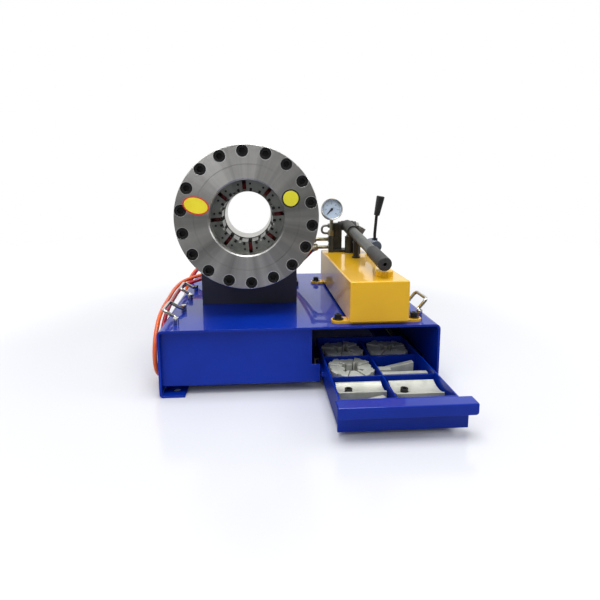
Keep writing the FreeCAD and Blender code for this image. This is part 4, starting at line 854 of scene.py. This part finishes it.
@dataclass
class Hoses:
    """The two hydraulic hoses between the pump casting and the head support.

    Attributes:
        bench: Bench that knows the palette.
        radius: Radius of both hoses.
        orange: Route of the orange hose.
        crimson: Route of the crimson hose.
        orange_length: Real length of the orange hose, not used.
        crimson_length: Real length of the crimson hose, not used.
    """

    bench: Bench
    radius: float = 0.005
    orange: tuple[Point, ...] = (
        (-0.264, 0.126, 0.188), (-0.310, 0.104, 0.180), (-0.331, 0.044, 0.169), (-0.331, -0.042, 0.162),
        (-0.329, -0.126, 0.160), (-0.328, -0.190, 0.146), (-0.328, -0.231, 0.106), (-0.328, -0.236, 0.052),
        (-0.328, -0.200, 0.014), (-0.328, -0.134, 0.009), (-0.330, -0.020, 0.008), (-0.329, 0.088, 0.011),
        (-0.331, 0.150, 0.036), (-0.331, 0.186, 0.086), (-0.326, 0.206, 0.141), (-0.298, 0.224, 0.189),
        (-0.246, 0.232, 0.213), (-0.186, 0.234, 0.204), (-0.124, 0.233, 0.180), (-0.042, 0.230, 0.168),
        (0.018, 0.216, 0.188), (0.052, 0.194, 0.232), (0.076, 0.170, 0.275))
    crimson: tuple[Point, ...] = (
        (-0.264, 0.104, 0.179), (-0.306, 0.078, 0.171), (-0.318, 0.034, 0.165), (-0.319, -0.044, 0.160),
        (-0.317, -0.120, 0.158), (-0.316, -0.182, 0.142), (-0.316, -0.226, 0.102), (-0.316, -0.230, 0.050),
        (-0.316, -0.195, 0.013), (-0.316, -0.128, 0.009), (-0.317, -0.016, 0.008), (-0.316, 0.084, 0.012),
        (-0.317, 0.140, 0.040), (-0.317, 0.172, 0.090), (-0.315, 0.188, 0.146), (-0.290, 0.204, 0.194),
        (-0.240, 0.214, 0.216), (-0.182, 0.217, 0.204), (-0.122, 0.217, 0.180), (-0.044, 0.213, 0.169),
        (0.014, 0.204, 0.182), (0.054, 0.190, 0.218), (0.080, 0.166, 0.252))
    orange_length: float = 1.471
    crimson_length: float = 1.392

    def lay(self, name: str, node: str, route: tuple[Point, ...], slot: str) -> None:
        """Lay one hose as a smooth spline over its route.

        Args:
            name: Name of the piece.
            node: CAD node that it stands for.
            route: Route points.
            slot: Material slot.
        """
        curve = bpy.data.curves.new(name, "CURVE")
        curve.dimensions = "3D"
        curve.bevel_depth = self.radius
        curve.bevel_resolution = 5
        curve.resolution_u = 10
        curve.use_fill_caps = True
        spline = curve.splines.new("NURBS")
        spline.points.add(len(route) - 1)
        for point, spot in zip(spline.points, route):
            point.co = (*spot, 1.0)
        spline.order_u = 3
        spline.use_endpoint_u = True
        thing = bpy.data.objects.new(name, curve)
        bpy.context.scene.collection.objects.link(thing)
        curve.materials.append(self.bench.palette.material(slot))
        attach(thing, Body.FRAME.value)
        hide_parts(node)

    def build(self) -> None:
        """Lay both hoses."""
        self.lay("orange_hose_line", "hose_orange", self.orange, "orange_hose")
        self.lay("crimson_hose_line", "hose_crimson", self.crimson, "crimson_hose")


@dataclass(frozen=True)
class Sticker:
    """Blank sticker with a printed rim.

    Attributes:
        name: Name of the piece.
        radius: Distance of its middle from the head's axis.
        angle: Direction of its middle from the axis in degrees.
        wide: Half of its width.
        high: Half of its height.
        tilt: Turn about its middle in degrees.
        border: Width of the rim.
        ink: Finish of the rim.
        paper: Finish of the middle.
    """

    name: str
    radius: float
    angle: float
    wide: float
    high: float
    tilt: float
    border: float
    ink: Finish
    paper: Finish


STICKERS = (
    Sticker("oval_sticker", 0.1172, 165.6, 0.0297, 0.0200, -16.0, 0.0029,
            Finish("sticker_red_rim", tint(214, 52, 40), tint(204, 46, 36), 0.34, 0.05, coat=0.4,
                   patch_scale=30.0, bump=0.03),
            Finish("sticker_yellow", tint(238, 222, 46), tint(232, 214, 40), 0.34, 0.05, coat=0.4,
                   patch_scale=30.0, fine_scale=1500.0, bump=0.03)),
    Sticker("round_sticker", 0.1085, 23.5, 0.0206, 0.0206, 0.0, 0.0033,
            Finish("sticker_black_rim", tint(38, 36, 34), tint(32, 30, 28), 0.36, 0.05, coat=0.4,
                   patch_scale=30.0, bump=0.03),
            Finish("sticker_lemon", tint(226, 218, 48), tint(218, 210, 42), 0.34, 0.05, coat=0.4,
                   patch_scale=30.0, fine_scale=1500.0, bump=0.03)))


@dataclass
class HeadTrim:
    """Blank stickers on the head's cover, and small fittings and springs on the die shoes.

    Attributes:
        bench: Bench that makes the pieces.
        axis_x: X of the head's axis.
        axis_z: Z of the head's axis.
        front_y: Y of the cover's face.
        sticker_height: Thickness of a sticker.
        shoe_face_y: Y of the shoes' faces.
        shoe_first_angle: Direction of the first shoe in degrees.
        shoe_count: Number of the shoes.
        shoe_travel: How far a shoe moves inwards.
        shoe_closed_gap: Gap between two closed shoes.
        clip_radius: Distance of the clips from the axis.
        clip_swing: Turn of a clip from the shoe's middle in degrees.
        clip_size: Size of a clip.
        clip_edge: Width of its rounded edges.
        clip_screw: Radius of a clip's screw.
        face_screw_at: Distance from the axis and turn of the screws beside the clips.
        face_screw: Radius of those screws.
        screw_sunk: How deep the screws sit.
        screw_steps: Steps round a screw.
        spring_from_axis: Distance of the springs from the axis.
        spring_behind_face: Depth of a spring's middle behind the shoes' faces.
        spring_radius: Outer radius of a spring.
        spring_end_gap: Space between a spring's end and the shoe.
        spring_turns: Turns of a spring.
        spring_steps: Steps in one turn.
        spring_sides: Sides of the spring's wire.
    """

    bench: Bench
    axis_x: float = -0.115
    axis_z: float = 0.385
    front_y: float = -0.203
    sticker_height: float = 0.0003
    shoe_face_y: float = -0.1607
    shoe_first_angle: float = 27.5
    shoe_count: int = 8
    shoe_travel: float = 0.0105
    shoe_closed_gap: float = 0.001
    clip_radius: float = 0.0640
    clip_swing: float = 9.5
    clip_size: Point = (0.0072, 0.0030, 0.0056)
    clip_edge: float = 0.0006
    clip_screw: float = 0.0021
    face_screw_at: tuple[float, float] = (0.0775, 12.0)
    face_screw: float = 0.0026
    screw_sunk: float = 0.0002
    screw_steps: int = 20
    spring_from_axis: float = 0.0735
    spring_behind_face: float = 0.0135
    spring_radius: float = 0.0105
    spring_end_gap: float = 0.0002
    spring_turns: int = 3
    spring_steps: int = 20
    spring_sides: int = 8

    def at(self, radius: float, angle: float, y: float) -> Vector:
        """Find a point round the head's axis."""
        turn = math.radians(angle)
        return Vector((self.axis_x + radius * math.cos(turn), y, self.axis_z + radius * math.sin(turn)))

    def stick(self, sticker: Sticker) -> None:
        """Add one sticker to the cover.

        Args:
            sticker: The sticker.
        """
        bm = bmesh.new()
        bmesh.ops.create_circle(bm, cap_ends=True, segments=64, radius=1.0)
        bmesh.ops.scale(bm, vec=(sticker.wide, sticker.high, 1.0), verts=bm.verts)
        raised = bmesh.ops.extrude_face_region(bm, geom=bm.faces[:])
        lifted = [v for v in raised["geom"] if isinstance(v, bmesh.types.BMVert)]
        bmesh.ops.translate(bm, vec=(0.0, 0.0, self.sticker_height), verts=lifted)
        bm.normal_update()
        top = [f for f in bm.faces if f.normal.z > 0.9 and f.calc_center_median().z > self.sticker_height / 2]
        rim = bmesh.ops.inset_region(bm, faces=top, thickness=sticker.border, depth=0.0)["faces"]
        for part in rim + [f for f in bm.faces if abs(f.normal.z) < 0.5]:
            part.material_index = 1
        bmesh.ops.recalc_face_normals(bm, faces=bm.faces)
        stand = Matrix.Translation(self.at(sticker.radius, sticker.angle, self.front_y))
        stand = stand @ Matrix.Rotation(math.radians(90.0), 4, "X")
        stand = stand @ Matrix.Rotation(math.radians(sticker.tilt), 4, "Z")
        bmesh.ops.transform(bm, matrix=stand, verts=bm.verts)
        thing = self.bench.piece(sticker.name, bm, Body.FRAME.value, "yellow_plastic", sticker.paper)
        thing.data.materials.append(self.bench.palette.special(sticker.ink))

    def screw(self, bm: Mesh, size: float, spot: Vector) -> None:
        """Add a screw with a round socket that looks at the operator.

        Args:
            bm: Mesh to add to.
            size: Radius of its head.
            spot: Middle of its foot.
        """
        outline = [(0.0, 0.0), (size, 0.0), (size, 0.0014), (size * 0.9, 0.0018), (size * 0.52, 0.0018),
                   (size * 0.5, 0.0007), (0.0, 0.0007)]
        lathe(bm, outline, self.screw_steps, looking(spot, Vector((0.0, -1.0, 0.0))))

    def shoe_fittings(self) -> None:
        """Add two black clips with their screws, and two more screws, to each shoe's face."""
        face_radius, face_swing = self.face_screw_at
        for index in range(self.shoe_count):
            angle = self.shoe_first_angle + index * 360.0 / self.shoe_count
            bm = bmesh.new()
            for swing in (-self.clip_swing, self.clip_swing):
                spot = self.at(self.clip_radius, angle + swing, self.shoe_face_y - self.clip_size[1] / 2)
                turned = Matrix.Rotation(-math.radians(angle + swing), 4, "Y")
                rounded_box(bm, self.clip_size, self.clip_edge, Matrix.Translation(spot) @ turned)
            for radius, swing, size, lift in (
                    (self.clip_radius, self.clip_swing, self.clip_screw, self.clip_size[1]),
                    (face_radius, face_swing, self.face_screw, 0.0)):
                foot_y = self.shoe_face_y - lift + self.screw_sunk
                for side in (-swing, swing):
                    self.screw(bm, size, self.at(radius, angle + side, foot_y))
            self.bench.piece("shoe_%d_clips" % (index + 1), bm, "shoe_%d" % (index + 1), "black_bolt")

    def coil(self, reach: float) -> Mesh:
        """Wind one spring along Z about the origin.

        Args:
            reach: Half of its length.

        Returns:
            The closed coil.
        """
        wire = (reach - self.spring_end_gap) / (2 * self.spring_turns)
        pitch = (2 * reach - 2 * wire) / self.spring_turns
        bm = bmesh.new()
        ring = bmesh.ops.create_circle(bm, cap_ends=False, segments=self.spring_sides, radius=wire)["verts"]
        bmesh.ops.rotate(bm, cent=(0, 0, 0), matrix=Matrix.Rotation(math.radians(90.0), 3, "X"), verts=ring)
        bmesh.ops.translate(bm, vec=(self.spring_radius - wire, 0.0, wire - reach), verts=ring)
        bmesh.ops.spin(bm, geom=bm.verts[:] + bm.edges[:], cent=(0, 0, 0), axis=(0, 0, 1),
                       dvec=(0, 0, pitch / self.spring_steps), angle=2 * math.pi * self.spring_turns,
                       steps=self.spring_steps * self.spring_turns, use_merge=False)
        bmesh.ops.holes_fill(bm, edges=[e for e in bm.edges if e.is_boundary], sides=self.spring_sides)
        bmesh.ops.recalc_face_normals(bm, faces=bm.faces)
        return bm

    def springs(self) -> None:
        """Add the red coil springs in the gaps between the shoes, each on the shoe beside it."""
        half_gap = self.shoe_closed_gap / 2 + self.shoe_travel * math.sin(math.pi / self.shoe_count)
        for index in range(self.shoe_count):
            angle = self.shoe_first_angle + (index + 0.5) * 360.0 / self.shoe_count
            turn = math.radians(angle)
            across = Vector((-math.sin(turn), 0.0, math.cos(turn)))
            middle = self.at(self.spring_from_axis, angle, self.shoe_face_y + self.spring_behind_face)
            bm = self.coil(half_gap - self.spring_end_gap)
            bmesh.ops.transform(bm, matrix=looking(middle, across), verts=bm.verts)
            shoe = "shoe_%d" % (index + 1)
            stands_for = ("shoe_springs",) if index == 0 else ()
            thing = self.bench.piece("gap_spring_%d" % (index + 1), bm, shoe, "spring_red",
                                     replaces=stands_for)
            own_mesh(thing)

    def build(self) -> None:
        """Add the stickers, the shoe fittings and the springs."""
        for sticker in STICKERS:
            self.stick(sticker)
        self.shoe_fittings()
        self.springs()


@dataclass
class DrawerTrim:
    """Weld dots that fix the drawer's cross dividers.

    Attributes:
        bench: Bench that makes the piece.
        faces_y: Y of the dividers' faces.
        ends_x: X of the dots on each.
        height: Z of the dots.
        radius: Radius of a dot.
        rise: How far a dot stands out.
        sunk: How deep it starts.
        steps: Steps round a dot.
    """

    bench: Bench
    faces_y: tuple[float, ...] = (-0.3423, -0.2362)
    ends_x: tuple[float, ...] = (0.157, 0.267)
    height: float = 0.0550
    radius: float = 0.0026
    rise: float = 0.0006
    sunk: float = 0.0004
    steps: int = 20

    def build(self) -> None:
        """Add all the dots as one piece."""
        bm = bmesh.new()
        outline = [(0.0, -self.sunk), (self.radius, -self.sunk), (self.radius * 0.96, self.rise * 0.4),
                   (self.radius * 0.7, self.rise * 0.8), (self.radius * 0.3, self.rise), (0.0, self.rise)]
        for y in self.faces_y:
            for x in self.ends_x:
                lathe(bm, outline, self.steps, looking(Vector((x, y, self.height)), Vector((0.0, -1.0, 0.0))))
        self.bench.piece("divider_weld_dots", bm, Body.DRAWER.value, "blue_paint")


@dataclass
class GaugeFace:
    """Rolled case of the pressure gauge and the printed marks on its dial.

    Attributes:
        bench: Bench that makes the pieces.
        centre: Middle of the gauge.
        tilt: How far the dial leans back in degrees.
        radius: Outer radius of the case.
        thickness: Depth of the case.
        dial_radius: Radius of the dial.
        steps: Steps round the case, and along the thin line.
        mark_height: Thickness of the print.
        mark_circle: Where the marks end, from the middle.
        major_size: Length and width of a long mark.
        minor_size: Length and width of a short mark.
        line: Inner and outer radius of the thin line.
        line_rise: How far the marks lie above the dial.
        sweep: Angle that the marks cover in degrees.
        major_marks: Number of the long marks.
        between: Steps from one long mark to the next.
        step: Difference between two numbers.
        number_circle: Distance of the numbers from the middle.
        number_size: Height of the numbers' type.
    """

    bench: Bench
    centre: Point = (0.134, 0.134, 0.382)
    tilt: float = 12.0
    radius: float = 0.033
    thickness: float = 0.024
    dial_radius: float = 0.029
    steps: int = 72
    mark_height: float = 0.00012
    mark_circle: float = 0.0255
    major_size: tuple[float, float] = (0.0036, 0.0006)
    minor_size: tuple[float, float] = (0.002, 0.0003)
    line: tuple[float, float] = (0.0258, 0.0261)
    line_rise: float = 0.00002
    sweep: float = 270.0
    major_marks: int = 7
    between: int = 5
    step: int = 10
    number_circle: float = 0.0182
    number_size: float = 0.0052

    def stand(self, rise: float) -> Matrix:
        """Stand a flat shape on the dial with its top upwards.

        Args:
            rise: How far in front of the gauge's middle.

        Returns:
            The matrix that does it.
        """
        lean = math.radians(self.tilt)
        out = Vector((0.0, -math.cos(lean), math.sin(lean)))
        side = Vector((1.0, 0.0, 0.0))
        turn = Matrix((side, out.cross(side), out)).transposed().to_4x4()
        return Matrix.Translation(Vector(self.centre) + out * rise) @ turn

    def case(self) -> None:
        """Add the pressed case with a rolled bezel, open to the front."""
        r, d, t = self.radius, self.dial_radius, self.thickness
        outline = [(0.0, 0.0), (r - 0.004, 0.0), (r - 0.0012, 0.001), (r - 0.0008, 0.0035),
                   (r - 0.0008, 0.0145), (r - 0.0016, 0.0152), (r - 0.0016, 0.0160), (r, 0.0168),
                   (r, 0.0212), (r - 0.0006, 0.0230), (r - 0.0018, t), (r - 0.0030, 0.0234),
                   (d + 0.0002, 0.0212), (d, 0.0195), (d, 0.0031), (0.0, 0.0031)]
        bm = bmesh.new()
        lathe(bm, outline, self.steps, self.stand(-self.thickness / 2))
        self.bench.piece("gauge_case_rolled", bm, Body.FRAME.value, "chrome", replaces=("gauge_case",),
                         smooth_angle=50.0)

    def angle(self, share: float) -> float:
        """Find the direction of a mark on the dial."""
        return math.radians(90.0 + self.sweep / 2 - share * self.sweep)

    def marks(self) -> None:
        """Add long and short marks round the dial, and a thin line that joins them."""
        bm = bmesh.new()
        count = (self.major_marks - 1) * self.between
        for index in range(count + 1):
            length, width = self.minor_size if index % self.between else self.major_size
            box = bmesh.ops.create_cube(bm, size=1.0)["verts"]
            bmesh.ops.scale(bm, vec=(length, width, self.mark_height), verts=box)
            bmesh.ops.translate(bm, vec=(self.mark_circle - length / 2, 0.0, self.mark_height / 2), verts=box)
            bmesh.ops.rotate(bm, cent=(0, 0, 0), matrix=Matrix.Rotation(self.angle(index / count), 3, "Z"),
                             verts=box)
        start = Matrix.Rotation(self.angle(1.0), 3, "Z")
        ends = [bm.verts.new(start @ Vector((radius, 0.0, self.mark_height))) for radius in self.line]
        bmesh.ops.spin(bm, geom=[*ends, bm.edges.new(ends)], cent=(0, 0, 0), axis=(0, 0, 1), dvec=(0, 0, 0),
                       angle=math.radians(self.sweep), steps=self.steps, use_merge=False)
        bmesh.ops.recalc_face_normals(bm, faces=bm.faces)
        bmesh.ops.transform(bm, matrix=self.stand(self.line_rise), verts=bm.verts)
        self.bench.piece("gauge_marks", bm, Body.FRAME.value, "needle_black")

    def numbers(self) -> None:
        """Add plain numbers beside the long marks."""
        bm = bmesh.new()
        for index in range(self.major_marks):
            turn = self.angle(index / (self.major_marks - 1))
            words = bpy.data.curves.new("dial_number", "FONT")
            words.body = str(index * self.step)
            words.size = self.number_size
            words.align_x = "CENTER"
            words.align_y = "CENTER"
            words.resolution_u = 2
            shown = bpy.data.objects.new("dial_number", words)
            bpy.context.scene.collection.objects.link(shown)
            flat = bpy.data.meshes.new_from_object(shown.evaluated_get(bpy.context.evaluated_depsgraph_get()))
            reach = self.number_circle
            flat.transform(Matrix.Translation((reach * math.cos(turn), reach * math.sin(turn), 0.0)))
            bm.from_mesh(flat)
            bpy.data.objects.remove(shown)
            bpy.data.curves.remove(words)
            bpy.data.meshes.remove(flat)
        bmesh.ops.transform(bm, matrix=self.stand(self.mark_height), verts=bm.verts)
        self.bench.piece("gauge_numbers", bm, Body.FRAME.value, "needle_black")

    def build(self) -> None:
        """Add the case, the marks and the numbers."""
        self.case()
        self.marks()
        self.numbers()


@dataclass(frozen=True)
class Lamp:
    """Square lamp that points at the machine.

    Attributes:
        name: Name of the lamp.
        at: Where it hangs.
        size: Its side.
        energy: Its power in watts.
    """

    name: str
    at: Point
    size: float
    energy: float


@dataclass
class Studio:
    """Plain pale floor, soft lamps, white surroundings and the camera.

    Attributes:
        camera_at: Where the camera stands.
        yaw: Its turn to the right in radians.
        pitch: Its turn downwards in radians.
        roll: Its turn about its own line of sight in radians.
        lens: Its focal length in millimetres.
        shift_x: Its shift sideways.
        shift_y: Its shift upwards.
        lamps: The lamps.
        lamps_aim: Point that the lamps look at.
        surround: Strength of the surroundings as a soft light.
        gloss_front: Their strength in reflections on the operator's side.
        gloss_ends: Where the reflections start to brighten towards the rear, and where they are brightest.
        floor_radius: Radius of the floor.
        floor_tones: The two tones of the floor.
        floor_gloss: Tone of the floor in reflections.
        glow: Strength of the floor's own light far from the machine.
        glow_ends: Where that light starts and where it is full.
    """

    camera_at: Point = (-0.085683, -1.178048, 0.461261)
    yaw: float = 0.057
    pitch: float = 0.145
    roll: float = -0.007
    lens: float = 25.83
    shift_x: float = 0.0255
    shift_y: float = -0.0890
    lamps: tuple[Lamp, ...] = (Lamp("lamp_front_left", (-1.5, -1.7, 2.0), 1.3, 15.0),
                               Lamp("lamp_top", (0.0, -0.5, 2.6), 1.6, 48.0),
                               Lamp("lamp_right", (2.0, -0.6, 1.3), 0.9, 8.0))
    lamps_aim: Point = (0.0, 0.0, 0.2)
    surround: float = 0.5
    gloss_front: float = 0.17
    gloss_ends: tuple[float, float] = (-0.25, 0.55)
    floor_radius: float = 4.0
    floor_tones: tuple[Colour, Colour] = ((0.78, 0.79, 0.83), (0.755, 0.765, 0.81))
    floor_gloss: Colour = (0.2, 0.2, 0.21)
    glow: float = 0.3
    glow_ends: tuple[float, float] = (0.6, 1.4)

    def build(self) -> None:
        """Set up the floor, the lamps, the surroundings and the camera."""
        self.camera()
        self.floor()
        for lamp in self.lamps:
            self.hang(lamp)
        self.surroundings()
        bpy.context.scene.view_settings.view_transform = "Standard"

    def camera(self) -> None:
        """Stand the camera where the machine is seen from."""
        yaw, pitch, roll = self.yaw, self.pitch, self.roll
        ahead = Vector((math.sin(yaw) * math.cos(pitch), math.cos(yaw) * math.cos(pitch), -math.sin(pitch)))
        level = Vector((math.cos(yaw), -math.sin(yaw), 0.0))
        upright = level.cross(ahead)
        right = math.cos(roll) * level + math.sin(roll) * upright
        up = -math.sin(roll) * level + math.cos(roll) * upright
        data = bpy.data.cameras.new("camera")
        data.sensor_width = 36.0
        data.lens = self.lens
        data.shift_x = self.shift_x
        data.shift_y = self.shift_y
        data.clip_start = 0.05
        data.clip_end = 50.0
        thing = bpy.data.objects.new("camera", data)
        bpy.context.scene.collection.objects.link(thing)
        turn = Matrix((right, up, -ahead)).transposed()
        thing.matrix_world = Matrix.Translation(self.camera_at) @ turn.to_4x4()
        bpy.context.scene.camera = thing

    def floor(self) -> None:
        """Lay a round pale floor that fades into the white surroundings."""
        bm = bmesh.new()
        bmesh.ops.create_circle(bm, cap_ends=True, segments=96, radius=self.floor_radius)
        mesh = bpy.data.meshes.new("studio_floor")
        bm.to_mesh(mesh)
        bm.free()
        thing = bpy.data.objects.new("studio_floor", mesh)
        bpy.context.scene.collection.objects.link(thing)
        material = bpy.data.materials.new("pale_floor")
        material.use_nodes = True
        material.node_tree.nodes.clear()
        board = Board(material.node_tree)
        place = board.put("ShaderNodeTexCoord").outputs["Object"]
        cloud = board.put("ShaderNodeTexNoise", {"Vector": place, "Scale": 3.0})
        seen = board.put("ShaderNodeLightPath").outputs
        pale = board.mix(cloud.outputs[0], *self.floor_tones)
        shade = board.mix(seen["Is Glossy Ray"], pale, self.floor_gloss)
        gloss = board.put("ShaderNodeBsdfPrincipled", {"Base Color": shade, "Roughness": 0.16})
        reach = board.put("ShaderNodeVectorMath", {0: place}, operation="LENGTH").outputs["Value"]
        away = board.span(reach, *self.glow_ends, to_high=self.glow)
        glow = board.put("ShaderNodeEmission", {"Color": (1.0, 1.0, 1.0), "Strength": away})
        straight = board.put("ShaderNodeMixShader", {0: seen["Is Camera Ray"], 2: glow.outputs[0]})
        lit = board.put("ShaderNodeAddShader", {0: gloss.outputs[0], 1: straight.outputs[0]})
        fade = board.span(reach, 1.1, self.floor_radius * 0.85)
        clear = board.put("ShaderNodeBsdfTransparent")
        edge = board.put("ShaderNodeMixShader", {0: fade, 1: lit.outputs[0], 2: clear.outputs[0]})
        board.put("ShaderNodeOutputMaterial", {"Surface": edge.outputs[0]})
        mesh.materials.append(material)

    def hang(self, lamp: Lamp) -> None:
        """Hang one lamp.

        Args:
            lamp: The lamp.
        """
        data = bpy.data.lights.new(lamp.name, "AREA")
        data.shape = "SQUARE"
        data.size = lamp.size
        data.energy = lamp.energy
        thing = bpy.data.objects.new(lamp.name, data)
        bpy.context.scene.collection.objects.link(thing)
        spot = Vector(lamp.at)
        thing.matrix_world = looking(spot, spot - Vector(self.lamps_aim))

    def surroundings(self) -> None:
        """Set up white surroundings that reflections see dimmer on the operator's side, and a soft light."""
        world = bpy.data.worlds.new("studio")
        world.use_nodes = True
        world.node_tree.nodes.clear()
        board = Board(world.node_tree)
        place = board.put("ShaderNodeTexCoord").outputs["Generated"]
        parts = board.put("ShaderNodeSeparateXYZ", {"Vector": place}).outputs
        back = board.math("ADD", board.math("MULTIPLY", parts[1], 0.7), board.math("MULTIPLY", parts[2], 0.7))
        shade = board.span(back, *self.gloss_ends, to_low=self.gloss_front)
        path = board.put("ShaderNodeLightPath").outputs
        soft, mirrored, white = (
            board.put("ShaderNodeBackground", {"Color": (1.0, 1.0, 1.0), "Strength": strength}).outputs[0]
            for strength in (self.surround, shade, 1.0))
        direct = board.math("MAXIMUM", path["Is Camera Ray"], path["Is Transmission Ray"])
        gloss = board.put("ShaderNodeMixShader", {0: path["Is Glossy Ray"], 1: soft, 2: mirrored})
        both = board.put("ShaderNodeMixShader", {0: direct, 1: gloss.outputs[0], 2: white})
        board.put("ShaderNodeOutputWorld", {"Surface": both.outputs[0]})
        bpy.context.scene.world = world


def main() -> None:
    """Dress the machine, lay its hoses and set up the studio."""
    logging.basicConfig(level=logging.INFO, format="%(name)s: %(message)s")
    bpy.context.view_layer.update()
    bench = Bench(Palette())
    Studio().build()
    for builder in (Hoses, HeadTrim, DrawerTrim, GaugeFace, Dressing):
        builder(bench).build()


if __name__ == "__main__":
    main()
